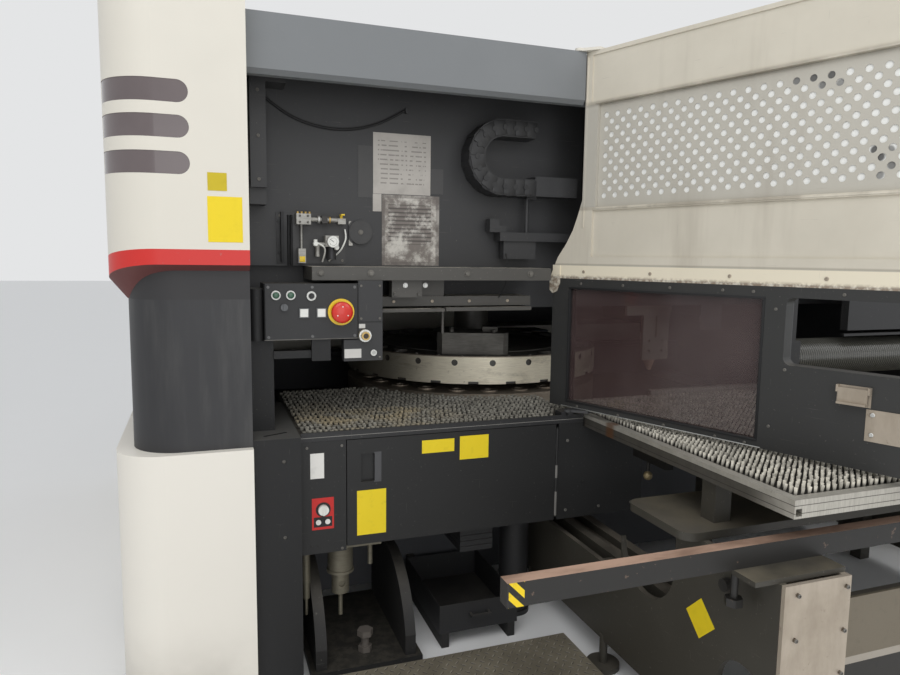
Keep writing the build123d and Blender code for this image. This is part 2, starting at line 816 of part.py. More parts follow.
start_button = push_button(button_points[0])
hold_button = push_button(button_points[1])


def knob(point, face, radius, height, wing):
    """A small turning knob with a raised wing across its face."""
    with BuildPart() as turner:
        rod(radius, (point[0], face - slip, point[1]), height, axis="-y")
        block(
            (point[0] - wing / 2, point[0] + wing / 2),
            (face - slip - height - 5.0, face - slip - height),
            (point[1] - radius + 1.0, point[1] + radius - 1.0),
        )
    return turner


key_switch = knob(key_point, control_face - bezel, 9.0, 6.0, 4.0)
selector_knob = knob(selector_point, control_face, 12.0, 10.0, 5.0)

# Fitting panel to the right of the control box
coupling_radius = 22.0
with BuildPart() as fitting_panel:
    block((fitting_left, fitting_right), (fitting_face, upper_frame_face), (fitting_bottom, ledge_bottom - seam))
    block(
        (fitting_left - 52.0, fitting_left),
        (fitting_face, fitting_face + 40.0),
        (fitting_bottom, box_bottom - 4.0),
    )
    block(
        (fitting_left, fitting_right),
        (fitting_face, fitting_face + 1.5),
        (1271.0, 1274.0),
        mode=Mode.SUBTRACT,
    )
    rod(coupling_radius, (-1290.0, fitting_face, 1225.0), 10.0, axis="-y")
    rod(coupling_radius - 7.0, (-1290.0, fitting_face - 10.0, 1225.0), 14.0, axis="-y")
    rod(coupling_radius - 13.0, (-1290.0, fitting_face - 24.0, 1225.0), 10.0, axis="-y", mode=Mode.SUBTRACT)
    rod(9.0, (-1258.0, fitting_face, 1163.0), 5.0, axis="-y")

# Upper and lower turrets
station_angles = [first_station + 360.0 / stations * number for number in range(stations)]
block_angle = -110.3
turret_centre = Plane(origin=(turret_x, turret_y, 0))
notch_width = 46.0
notch_height = 11.0
band_inner = turret_radius - turret_band

with BuildPart() as turret_upper:
    with BuildSketch(Plane.XY.offset(upper_turret_bottom)):
        with Locations((turret_x, turret_y)):
            Circle(turret_radius)
            Circle(band_inner, mode=Mode.SUBTRACT)
    extrude(amount=upper_turret_top - upper_turret_bottom)
    for angle in station_angles:
        spoke = Plane(
            origin=(turret_x, turret_y, locating_hole_level),
            z_dir=(math.cos(math.radians(angle)), math.sin(math.radians(angle)), 0),
        )
        with Locations(spoke.offset(turret_radius - locating_hole_depth)):
            Cylinder(
                locating_hole,
                2 * locating_hole_depth,
                align=(Align.CENTER, Align.CENTER, Align.MIN),
                mode=Mode.SUBTRACT,
            )
    with BuildSketch(Plane.XY.offset(upper_turret_bottom)):
        with Locations((turret_x, turret_y)):
            with PolarLocations(turret_radius, stations, start_angle=first_station + 180.0 / stations):
                Rectangle(2 * turret_band, notch_width)
    extrude(amount=notch_height, mode=Mode.SUBTRACT)
    with BuildSketch(Plane.XY.offset(upper_turret_bottom)):
        with Locations((turret_x, turret_y)):
            Circle(band_inner)
    extrude(amount=upper_turret_top - upper_turret_bottom - 2.0)
    rod(200.0, (turret_x, turret_y, upper_turret_top - 2.0), 60.0)
    rod(
        shaft_radius,
        (turret_x, turret_y, upper_turret_top - 2.0),
        upper_bottom + upper_floor - upper_turret_top + 1.0,
    )
    for angle in station_angles:
        away = abs((angle - block_angle + 180.0) % 360.0 - 180.0)
        if away > 24.0:
            centre = turret_centre.origin + Vector(station_radius, 0, 0).rotate(Axis.Z, angle)
            rod(punch_head, (centre.X, centre.Y, upper_turret_top - 2.0), punch_head_height)

tool_block_width = 328.0
tool_block_near = 534.0
tool_block_depth = 210.0
tool_block_height = 98.0
block_plane = Plane(
    origin=(turret_x, turret_y, upper_turret_top - 2.0),
    x_dir=(math.cos(math.radians(block_angle + 90.0)), math.sin(math.radians(block_angle + 90.0)), 0),
    z_dir=(0, 0, 1),
)
with BuildPart() as turret_tool_block:
    with BuildSketch(block_plane) as block_plan:
        with Locations((0, -tool_block_near + tool_block_depth / 2)):
            Rectangle(tool_block_width, tool_block_depth)
        chamfer(block_plan.vertices(), 24.0)
    extrude(amount=tool_block_height)
    with BuildSketch(block_plane.offset(tool_block_height)):
        with Locations((0, -tool_block_near + tool_block_depth / 2)):
            with GridLocations(0.6 * tool_block_width, 0.55 * tool_block_depth, 2, 2):
                Circle(12.0)
    extrude(amount=12.0)
    with BuildSketch(block_plane.offset(tool_block_height)):
        with Locations((tool_block_width / 4, -tool_block_near + tool_block_depth / 2)):
            Rectangle(70.0, 60.0)
    extrude(amount=22.0)

with BuildPart() as turret_lower:
    rod(turret_radius, (turret_x, turret_y, lower_turret_bottom), lower_turret_top - lower_turret_bottom)
    rod(shaft_radius, (turret_x, turret_y, 600.0), lower_turret_bottom - 600.0)
    for angle in station_angles:
        centre = turret_centre.origin + Vector(station_radius, 0, 0).rotate(Axis.Z, angle)
        rod(punch_head + 6.0, (centre.X, centre.Y, lower_turret_top), die_height)
        rod(punch_head - 14.0, (centre.X, centre.Y, lower_turret_top), die_height, mode=Mode.SUBTRACT)

# Punch ram over the station at the right of the turret
ram_radius = 110.0
ram_height = 560.0
striker_bottom = 1222.0
striker_top = 1480.0
motor_radius = 130.0
motor_gap = 10.0
with BuildPart() as press_drives:
    rod(motor_radius, (turret_x, turret_y, upper_bottom + upper_floor), 320.0)
    rod(motor_radius, (turret_x, turret_y, frame_bottom), 600.0 - motor_gap - frame_bottom)
    rod(ram_radius, (ram_x, ram_y, upper_bottom + upper_floor), ram_height)
    rod(ram_radius + 40.0, (ram_x, ram_y, upper_bottom + upper_floor), 30.0)
    rod(
        striker_radius + running_fit,
        (ram_x, ram_y, upper_bottom + upper_floor),
        striker_top - upper_bottom,
        mode=Mode.SUBTRACT,
    )

with BuildPart() as striker:
    rod(striker_radius, (ram_x, ram_y, striker_bottom), striker_top - striker_bottom)

# Cutting head on the cross arm of the bridge
head_face = -320.0
head_plate_left = 194.0
head_plate_right = 342.0
with BuildPart() as laser_carriage:
    block((330.0, arm_left - 8.0 - slip), (head_face, head_face + 160.0), (1150.0, 1290.0))
    block((96.0, arm_left - 8.0 - slip), (head_face - 14.0, head_face), (1236.0, 1290.0))
    block((head_plate_left, head_plate_right), (head_face - 14.0, head_face), (1017.0, 1236.0))
    block((264.0, 272.0), (head_face - 14.0, head_face), (1130.0, 1230.0), mode=Mode.SUBTRACT)
    for hole_x, hole_z in ((230.0, 1060.0), (306.0, 1060.0), (230.0, 1110.0), (306.0, 1110.0)):
        rod(6.0, (hole_x, head_face, hole_z), 14.0, axis="-y", mode=Mode.SUBTRACT)

with BuildPart() as laser_head:
    block((236.0, 300.0), (head_face + slip, head_face + 66.0), (1060.0, 1215.0))
    rod(26.0, (268.0, head_face + 33.0, 1000.0), 60.0)
    rod(10.0, (268.0, head_face + 33.0, 960.0), 40.0, small_radius=24.0)
    rod(1.5, (268.0, head_face + 33.0, 960.0), 40.0, mode=Mode.SUBTRACT)

# Sheet carriage behind the turret
beam_low = base_top + carriage_rail_height + slip
beam_high = 880.0
beam_front = 1150.0
beam_rear = 1350.0
slide_low = beam_high + 20.0 + slip
with BuildPart() as carriage_beam:
    block((-1560.0, 1560.0), (beam_front, beam_rear), (beam_low, beam_high))
    for rail_y in (beam_front + 20.0, beam_rear - 40.0):
        block((-1560.0, 1560.0), span(rail_y, 20.0), (beam_high, beam_high + 20.0))

clamp_positions = (-300.0, 300.0)
clamp_width = 90.0
ear_width = 12.0
jaw_pin = 6.0
jaw_y = beam_front - 40.0
jaw_z = 975.0
jaw_tip = beam_front - 108.0

with BuildPart() as cross_slide:
    block((-450.0, 450.0), (beam_front - 10.0, beam_rear), (slide_low, 1010.0))
    for clamp_x in clamp_positions:
        clamp_left = clamp_x - clamp_width / 2
        block(span(clamp_left, clamp_width), (beam_front - 110.0, beam_front - 10.0), (915.0, 945.0))
        for ear_x in (clamp_left, clamp_left + clamp_width - ear_width):
            block(span(ear_x, ear_width), (jaw_y - 14.0, beam_front - 10.0), (945.0, 990.0))
    rod(jaw_pin + running_fit, (-450.0, jaw_y, jaw_z), 900.0, axis="x", mode=Mode.SUBTRACT)

with BuildPart() as clamp_jaws:
    jaw_half = clamp_width / 2 - ear_width - slip
    for clamp_x in clamp_positions:
        block((clamp_x - jaw_half, clamp_x + jaw_half), (jaw_tip, jaw_y + 12.0), (964.0, 986.0))
        block((clamp_x - jaw_half, clamp_x + jaw_half), (jaw_tip, jaw_tip + 20.0), (945.0 + slip, 964.0))
    rod(jaw_pin, (-360.0, jaw_y, jaw_z), 720.0, axis="x")

# Laser source and electric cabinet inside the rear cover
cabinet_front = 1560.0
cabinet_back = rear_face - cover_depth - seam
with BuildPart() as rear_cabinets:
    block((200.0, 1500.0), (cabinet_front, cabinet_back), (frame_bottom, 1000.0))
    block((-1500.0, -100.0), (cabinet_front, cabinet_back), (frame_bottom, 1900.0))

# Energy chain and sensor arm at the right of the throat
chain_x = -721.0
chain_z = 1888.0
chain_outer = 143.0
chain_inner = 78.0
chain_front = -690.0
chain_end = -586.0
with BuildPart() as cable_chain:
    with BuildSketch(Plane.XZ.offset(-wall_face + slip)) as chain_side:
        with Locations((chain_x, chain_z)):
            Circle(chain_outer)
            Circle(chain_inner, mode=Mode.SUBTRACT)
        with Locations((chain_x + chain_outer / 2, chain_z)):
            Rectangle(chain_outer, 2 * chain_outer, mode=Mode.SUBTRACT)
        for run_z in (chain_z + chain_inner, chain_z - chain_outer):
            with Locations(((chain_x + chain_end) / 2, run_z + (chain_outer - chain_inner) / 2)):
                Rectangle(chain_end - chain_x, chain_outer - chain_inner)
    extrude(amount=wall_face - slip - chain_front)

with BuildPart() as sensor_arm:
    block((chain_end, -400.0), (-690.0, wall_face), (1746.0, 1822.0))
    rod(8.0, (-596.0, -640.0, 1604.0), 1736.0 - 1604.0)
    block((-604.0, -560.0), (-652.0, -628.0), (1736.0, chain_z - chain_outer - slip))
    block((chain_end + 2 * seam, -560.0), (-652.0, -628.0), (1736.0, 1760.0))
    block((-720.0, -400.0), (-665.0, wall_face), (1570.0, 1604.0))
    block((-760.0, -720.0), (-655.0, -615.0), (1604.0, 1655.0))
    block((-720.0, -690.0), (-655.0, -615.0), (1604.0, 1630.0))
    block((-700.0, -560.0), (-655.0, -615.0), (1500.0, 1570.0))

# Main brush table with its tufts in rows, the beam and leg that hold it, and a lifting block
leg_x = -600.0
leg_y = -600.0
leg_radius = 62.0
table_beam_bottom = 800.0
pedestal_half = 28.0
pedestal_top = door_bottom - 2 * seam - pivot_arm

with BuildPart() as main_table:
    block((table_left, table_right), (table_face, table_back), (table_plate_bottom, table_plate_top))
    block((table_left, table_right), span(table_face, 6.0), (table_plate_top, table_top))
    rod(turret_opening, (turret_x, turret_y, table_plate_bottom), 60.0, mode=Mode.SUBTRACT)
    block((plinth_right + seam, table_right), (-630.0, -570.0), (table_beam_bottom, table_plate_bottom))
    rod(leg_radius, (leg_x, leg_y, 0), table_beam_bottom)
    rod(leg_radius + 8.0, (leg_x, leg_y, 0), 18.0)
    for support_x in (-1450.0, -1250.0):
        block(span(support_x, 60.0), (-260.0, -200.0), (base_top, table_plate_bottom))
    block(
        (pivot_x - pedestal_half, pivot_x + pedestal_half),
        (pivot_y, pivot_y + 50.0),
        (table_plate_top, pedestal_top),
    )
    block(
        (pivot_x - pivot_pin, pivot_x + pivot_pin),
        (pivot_y - 20.0, pivot_y),
        (table_top, pedestal_top),
    )
    rod(pivot_pin, (pivot_x, pivot_y, pedestal_top - 2.0), 2.0 + pivot_arm + 2 * seam)
    block((-850.0, -820.0), (-628.0, -572.0), (447.0, table_beam_bottom))
    for layer in range(4):
        block((-905.0, -770.0), (-760.0, -572.0), span(360.0 + 22.0 * layer, 20.0))
    block((-895.0, -780.0), (-750.0, -580.0), (360.0, 447.0))

with BuildPart() as main_brushes:
    row_y = table_face + 24.0
    while row_y < table_back - tuft_width:
        block((table_left + 10.0, table_right - 10.0), span(row_y, tuft_width), (table_plate_top, tuft_top))
        row_y += tuft_pitch
    rod(turret_opening + 12.0, (turret_x, turret_y, table_plate_top), 40.0, mode=Mode.SUBTRACT)
    block(
        (pivot_x - pedestal_half - 12.0, pivot_x + pedestal_half + 12.0),
        (table_face, table_face + 70.0),
        (table_plate_top, table_top + 20.0),
        mode=Mode.SUBTRACT,
    )

# Skirt: switch panel at the left, door in the middle, fixed panel at the right
panel_left = plinth_right + 4.0
panel_right = -1370.0
panel_bottom = 470.0
skirt_top = table_plate_bottom - seam
knob_point = (-1451.0, 628.0)
mode_knob = knob(knob_point, table_face - tag, 18.0, 12.0, 6.0)

fixed_left = skirt_hinge_x + hinge_barrel + 1.0
fixed_right = -150.0
skirt_door_left = panel_right + 3.0
skirt_door_right = skirt_hinge_x - hinge_barrel - 1.0
pull_left = -1321.0
pull_right = -1242.0
pull_bottom = 709.0
pull_top = 818.0
knuckle_levels = ((505.0, 605.0), (655.0, 705.0), (755.0, 850.0))
fixed_knuckles = ((605.0 + slip, 655.0 - slip), (705.0 + slip, 755.0 - slip))

with BuildPart() as front_skirt:
    block((fixed_left, table_right), span(table_face, sheet), (skirt_bottom, skirt_top))
    block((table_right, fixed_right), span(table_face, sheet), (skirt_bottom, side_table_bottom - slip))
    block((fixed_left, fixed_left + 18.0), span(table_face, skirt_thickness), (skirt_bottom, skirt_top))
    block((fixed_left, fixed_right), span(table_face, skirt_thickness), span(skirt_bottom, sheet))
    rod(7.0, (-424.0, table_face, 625.0), 4.0, axis="-y")
    block((panel_left, panel_right), span(table_face, skirt_thickness), (panel_bottom, skirt_top))
    for screw_x in (-1492.0, -1470.0):
        rod(4.0, (screw_x, table_face, 496.0), 2.0, axis="-y")
    rod(hinge_pin, (skirt_hinge_x, table_face, 500.0), 355.0)
    for low, high in fixed_knuckles:
        rod(hinge_barrel, (skirt_hinge_x, table_face, low), high - low)
        block(
            (skirt_hinge_x + hinge_barrel - 2.0, fixed_left),
            (table_face, table_face + 3.0),
            (low, high),
        )

with BuildPart() as skirt_door:
    block((skirt_door_left, skirt_door_right), span(table_face, skirt_thickness), (skirt_bottom, skirt_top - 2.0))
    block(
        (skirt_door_left + sheet, skirt_door_right - sheet),
        span(table_face + sheet, skirt_thickness),
        (skirt_bottom + sheet, skirt_top - 2.0 - sheet),
        mode=Mode.SUBTRACT,
    )
    block((pull_left, pull_right), (table_face, table_face + sheet), (pull_bottom, pull_top), mode=Mode.SUBTRACT)
    for low, high in knuckle_levels:
        rod(hinge_barrel, (skirt_hinge_x, table_face, low), high - low)
        block(
            (skirt_door_right - 2.0, skirt_hinge_x - hinge_barrel + 2.0),
            (table_face, table_face + 3.0),
            (low, high),
        )
    rod(hinge_pin + running_fit, (skirt_hinge_x, table_face, skirt_bottom), 400.0, mode=Mode.SUBTRACT)
    block((pull_left, pull_right), (table_face, table_face + 15.0), (pull_bottom, pull_top))
    block(
        (pull_left + 4.0, pull_right - 4.0),
        (table_face, table_face + 13.0),
        (pull_bottom + 4.0, pull_top - 4.0),
        mode=Mode.SUBTRACT,
    )
    block((pull_right - 26.0, pull_right - 4.0), (table_face + 1.0, table_face + 4.0), (pull_bottom, pull_top))
    block((-1332.0, -1227.0), (table_face - tag, table_face), (519.0, 682.0))
    block((-1094.0, -970.0), (table_face - tag, table_face), (797.0, 845.0))
    block((-948.0, -834.0), (table_face - tag, table_face), (762.0, 850.0))

# Parts seen under the skirt
cylinder_y = -750.0
with BuildPart() as air_cylinders:
    block((panel_left, -1240.0), (table_face + skirt_thickness, -690.0), (panel_bottom + slip, 482.0))
    rod(46.0, (-1373.0, cylinder_y, 362.0), panel_bottom + slip - 362.0)
    rod(50.0, (-1373.0, cylinder_y, 352.0), 10.0)
    rod(32.0, (-1373.0, cylinder_y, 272.0), 80.0)
    rod(12.0, (-1373.0, cylinder_y - 32.0, 312.0), 10.0, axis="y", mode=Mode.SUBTRACT)
    rod(8.0, (-1373.0, cylinder_y, 180.0), 92.0)
    rod(15.0, (-1498.0, cylinder_y, 320.0), panel_bottom + slip - 320.0)
    rod(12.0, (-1498.0, cylinder_y, 262.0), 58.0)
    rod(6.0, (-1498.0, cylinder_y, 200.0), 62.0)
    rod(9.0, (-1261.0, cylinder_y, 362.0), panel_bottom + slip - 362.0)

bracket_plate = 30.0
gusset_width = 40.0
scrap_left = -1000.0
scrap_right = -672.0
scrap_front = -800.0
scrap_back = -340.0
scrap_bottom = 58.0
scrap_top = 172.0
scrap_wall = 3.0

with BuildPart() as foot_bracket:
    block((-1497.0, -1087.0), (-865.0, base_frame_face - seam), (0.0, bracket_plate))
    for gusset_x in (-1480.0, -1150.0):
        with BuildSketch(Plane.YZ.offset(gusset_x)):
            with BuildLine():
                Line((base_frame_face - seam, bracket_plate), (-850.0, bracket_plate))
                Line((-850.0, bracket_plate), (-850.0, 105.0))
                ThreePointArc((-850.0, 105.0), (-745.0, 272.0), (-580.0, 345.0))
                Line((-580.0, 345.0), (base_frame_face - seam, 345.0))
                Line((base_frame_face - seam, 345.0), (base_frame_face - seam, bracket_plate))
            make_face()
        extrude(amount=gusset_width)
    with BuildSketch(Plane.XY.offset(bracket_plate)):
        with Locations((-1284.0, -767.0)):
            RegularPolygon(26.0, 6)
    extrude(amount=22.0)
    rod(15.0, (-1284.0, -767.0, bracket_plate), 62.0)
    with BuildSketch(Plane.XY.offset(bracket_plate + 62.0)):
        with Locations((-1284.0, -767.0)):
            RegularPolygon(30.0, 6)
    extrude(amount=22.0)
    for rail_x in (scrap_left + 10.0, scrap_right - 40.0):
        block(span(rail_x, 30.0), (scrap_front, base_frame_face - seam), (0.0, scrap_bottom - slip))
        block(span(rail_x, 30.0), (scrap_back + 10.0, base_frame_face - seam), (0.0, scrap_top))

tread_left = -1500.0
tread_right = -530.0
tread_front = -1560.0
tread_back = -925.0
tread_height = 50.0
with BuildPart() as tread_plate:
    block((tread_left, tread_right), (tread_front, tread_back), (0.0, tread_height))

with BuildPart() as scrap_box:
    block((scrap_left, scrap_right), (scrap_front, scrap_back), (scrap_bottom, scrap_top))
    block(
        (scrap_left + scrap_wall, scrap_right - scrap_wall),
        (scrap_front + scrap_wall, scrap_back - scrap_wall),
        (scrap_bottom + scrap_wall, scrap_top),
        mode=Mode.SUBTRACT,
    )
    for handle_x in (-880.0, -806.0):
        block(span(handle_x, 10.0), (scrap_front - 22.0, scrap_front), (120.0, 130.0))
    block((-880.0, -796.0), (scrap_front - 32.0, scrap_front - 22.0), (120.0, 130.0))

# Side table, with the ball stop that hangs under it, and its base
ball_x = -360.0
ball_y = -1184.0
ball_z = 746.0
ball_radius = 16.0
with BuildPart() as side_table:
    block(
        (side_table_left, side_table_right),
        (side_table_front, side_table_back),
        (side_table_bottom, side_table_top),
    )
    block(
        (side_table_left + side_profile, side_table_right - side_profile),
        (side_table_front + side_profile, side_table_back - side_profile),
        (side_table_web, side_table_top),
        mode=Mode.SUBTRACT,
    )
    block(
        (side_table_left + side_profile, side_table_right - side_profile),
        (side_table_front + side_profile, side_table_back - side_profile),
        (side_table_bottom, side_table_under),
        mode=Mode.SUBTRACT,
    )
    block(
        (side_table_left + 5.0, side_table_left + side_profile - 5.0),
        (side_table_front, side_table_front + 60.0),
        (side_table_bottom + 6.0, side_table_top - 24.0),
        mode=Mode.SUBTRACT,
    )
    block((50.0, side_table_right), (side_table_back - 28.0, side_table_back), span(side_table_top, 25.0))
    block((ball_x - 15.0, ball_x + 15.0), (-1300.0, -1110.0), (800.0, side_table_under))
    rod(6.0, (ball_x, ball_y, ball_z), 800.0 - ball_z)
    with Locations((ball_x, ball_y, ball_z)):
        Sphere(ball_radius)

with BuildPart() as side_brushes:
    row_x = side_table_left + side_profile + 12.0
    while row_x < side_table_right - side_profile - tuft_width:
        block(
            span(row_x, tuft_width),
            (side_table_front + side_profile + 10.0, side_table_back - side_profile - 10.0),
            (side_table_web, side_tuft_top),
        )
        row_x += tuft_pitch

notch_y = -1345.0
notch_z = 545.0
notch_radius = 145.0
port_y = -1790.0
port_z = 318.0
port_radius = 92.0


channel_left = -400.0
channel_right = -265.0
panel_face = -1700.0
shelf_left = -530.0
shelf_top = side_plate_top + 25.0

with BuildPart() as table_base:
    for upright_x in (side_plate_x, right_plate_x):
        with BuildSketch(Plane.YZ.offset(upright_x)):
            with BuildLine():
                Polyline(
                    (side_plate_front, side_plate_bottom),
                    (side_plate_front, side_plate_top),
                    (notch_y + notch_radius, side_plate_top),
                    (notch_y + notch_radius, side_plate_low_top),
                    (side_plate_back, side_plate_low_top),
                    (side_plate_back, side_plate_bottom),
                    close=True,
                )
            make_face()
            with Locations((notch_y, notch_z)):
                Circle(notch_radius, mode=Mode.SUBTRACT)
            with Locations((notch_y, (notch_z + side_plate_top) / 2)):
                Rectangle(2 * notch_radius, side_plate_top - notch_z, mode=Mode.SUBTRACT)
            with Locations((port_y, port_z)):
                Circle(port_radius, mode=Mode.SUBTRACT)
        extrude(amount=plate)
        for foot_y in (-1800.0, -1100.0, -500.0):
            rod(foot_pad_radius, (upright_x + plate / 2, foot_y, 0), foot_pad_height)
            rod(foot_bolt_radius, (upright_x + plate / 2, foot_y, foot_pad_height), side_plate_bottom)
    with BuildSketch(Plane.XY.offset(side_plate_top)) as shelf_plan:
        with Locations(((shelf_left + right_plate_x + plate) / 2, -1455.0)):
            Rectangle(right_plate_x + plate - shelf_left, 310.0)
        fillet(shelf_plan.vertices().group_by(Axis.X)[0], 45.0)
    extrude(amount=25.0)
    block((-545.0, -246.0), (-1895.0, -1745.0), span(side_plate_top, 14.0))
    block((front_post_right, right_plate_x), span(panel_face, sheet), (80.0, 480.0))
    block((front_post_right, right_plate_x), (panel_face, panel_face + 30.0), span(476.0, sheet))
    block((channel_left, channel_right), (-1430.0, base_frame_face - seam), (360.0, 400.0))
    block(
        (channel_left + 40.0, channel_right - 40.0),
        (-1430.0, base_frame_face - seam),
        (370.0, 400.0),
        mode=Mode.SUBTRACT,
    )
    block((side_plate_x + plate, channel_left), (-1100.0, -1040.0), (370.0, 390.0))
    for leg_left in (-390.0, 400.0, 1200.0):
        block(span(leg_left, 60.0), (-1560.0, -1500.0), (shelf_top, side_table_under - slip))
    for leg_left in (300.0, 1300.0):
        block(span(leg_left, 60.0), (-700.0, -640.0), (0.0, side_table_under - slip))

with BuildPart() as front_post_plate:
    block((-468.0, front_post_right), (side_plate_front - 12.0, side_plate_front), (frame_bottom, side_plate_top))
    for screw_x in (-428.0, -264.0):
        for screw_z in (663.0, 543.0, 423.0, 303.0, 183.0):
            rod(6.0, (screw_x, side_plate_front - 12.0, screw_z), 6.0, axis="y", mode=Mode.SUBTRACT)
    block(
        (front_post_right - 20.0, front_post_right),
        (side_plate_front, panel_face),
        (side_plate_bottom, side_plate_top),
    )

bar_width = 40.0
bar_height = 60.0
bar_bottom = side_plate_top + 14.0
bar_wall = 3.0
bar_left = -1190.0
bar_right = 620.0
bar_front = -1820.0
with BuildPart() as striped_bar:
    block((bar_left, bar_right), span(bar_front, bar_width), span(bar_bottom, bar_height))
    block(
        (bar_left + bar_wall, bar_right),
        span(bar_front + bar_wall, bar_width - 2 * bar_wall),
        span(bar_bottom + bar_wall, bar_height - 2 * bar_wall),
        mode=Mode.SUBTRACT,
    )
    rod(10.0, (-522.0, bar_front + bar_width / 2, 610.0), side_plate_top - 610.0)
    with BuildSketch(Plane.XY.offset(596.0)):
        with Locations((-522.0, bar_front + bar_width / 2)):
            RegularPolygon(24.0, 6)
    extrude(amount=22.0)
    rod(18.0, (side_plate_x - 22.0, -1724.0, 610.0), 22.0, axis="x")

# Extraction hose along the right of the throat
hose_radius = 85.0
hose_groove = 8.0
hose_pitch = 25.0
hose_wall = 4.0
hose_ribs = int((hose_right - hose_left) / hose_pitch)
hose_step = (hose_right - hose_left) / hose_ribs
hose_outline = [(hose_left, hose_radius - hose_groove)]
for rib in range(hose_ribs):
    hose_outline.append((hose_left + hose_step * (rib + 0.5), hose_radius))
    hose_outline.append((hose_left + hose_step * (rib + 1), hose_radius - hose_groove))

with BuildPart() as extraction_hose:
    with BuildSketch(Plane(origin=(0, hose_y, hose_z), x_dir=(1, 0, 0), z_dir=(0, -1, 0))):
        with BuildLine():
            Polyline(
                *hose_outline,
                (hose_right, hose_radius - hose_groove - hose_wall),
                (hose_left, hose_radius - hose_groove - hose_wall),
                close=True,
            )
        make_face()
    revolve(axis=Axis((0, hose_y, hose_z), (1, 0, 0)))

# Front door, drawn open
tail_low = -door_tail
tab_thickness = 3.5
door_back = door_outer - door_skin - seam

with BuildPart() as door_panel:
    door_block((door_start, door_reach), (door_inner, door_back), (door_split, roof_top))
    door_block(
        (perforated_left, perforated_right),
        (door_inner, door_inner + perforated_recess),
        (perforated_bottom, header_bottom),
        mode=Mode.SUBTRACT,
    )
    door_block(
        (door_start + stile, door_reach - stile),
        (door_inner + perforated_recess + perforated_sheet, door_back),
        (door_split + stile, roof_top - stile),
        mode=Mode.SUBTRACT,
    )
    door_block(
        (perforated_left - 12.0, door_reach - stile),
        (door_inner, door_inner + 8.0),
        (1512.0, perforated_bottom - 12.0),
        mode=Mode.SUBTRACT,
    )
    door_block(
        (door_start + stile, door_reach - stile),
        (door_inner, door_inner + 5.0),
        (header_bottom + 10.0, roof_top - 14.0),
        mode=Mode.SUBTRACT,
    )
    with BuildSketch(door_face(door_inner + 8.0)):
        with BuildLine():
            Polyline(
                (door_start, flare_top),
                (door_start, door_split),
                (tail_low, door_split),
                (tail_low, 1467.0),
                (-99.0, 1510.0),
                (-60.0, 1560.0),
                (-28.0, 1613.0),
                (-6.0, 1669.0),
                close=True,
            )
        make_face()
    extrude(amount=8.0)
    with BuildSketch(door_face(door_inner)):
        with BuildLine():
            Polyline(
                (-84.0, 1480.0),
                (-84.0, 1409.0),
                (-98.0, 1377.0),
                (-119.0, 1368.0),
                (-135.0, 1382.0),
                (-135.0, 1424.0),
                (tail_low, 1460.0),
                (tail_low, 1480.0),
                close=True,
            )
        make_face()
    extrude(amount=tab_thickness)
    row_gap = hole_pitch / 2
    panel_middle = (perforated_bottom + header_bottom) / 2
    with BuildSketch(door_face(door_inner + perforated_recess + 2 * perforated_sheet)):
        for row in range(2 * hole_rows - 1):
            stagger = row % 2
            row_z = panel_middle + (row - hole_rows + 1) * row_gap
            for column in range(hole_columns - stagger):
                with Locations((first_hole_t + hole_pitch * (column + stagger / 2), row_z)):
                    RegularPolygon(hole_radius, 6)
    extrude(amount=4 * perforated_sheet, mode=Mode.SUBTRACT)

lining_front = door_inner + perforated_recess + perforated_sheet + slip
with BuildPart() as door_lining:
    door_block(
        (door_start + stile + 4.0, door_reach - stile - 4.0),
        (lining_front, lining_front + lining_thickness),
        (perforated_bottom, header_bottom),
    )

with BuildPart() as door_lower_frame:
    door_block((tail_low, door_reach), (door_inner, door_back), (door_bottom, door_split - seam))
    door_block(
        (window_left, window_right),
        (door_inner, door_back),
        (window_bottom, window_top),
        mode=Mode.SUBTRACT,
    )
    door_block(
        (window_left - window_rebate, window_right + window_rebate),
        (door_inner + perforated_recess, door_back),
        (window_bottom - window_rebate, window_top + window_rebate),
        mode=Mode.SUBTRACT,
    )
    with BuildSketch(door_face(door_back)) as hatch:
        with Locations(((hatch_left + hatch_right) / 2, (hatch_bottom + hatch_top) / 2)):
            RectangleRounded(hatch_right - hatch_left, hatch_top - hatch_bottom, hatch_corner)
    extrude(amount=door_depth, mode=Mode.SUBTRACT)

glass_front = door_inner + perforated_recess + slip
with BuildPart() as door_window:
    door_block(
        (window_left - window_rebate + slip, window_right + window_rebate - slip),
        (glass_front, glass_front + window_thickness),
        (window_bottom - window_rebate + slip, window_top + window_rebate - slip),
    )

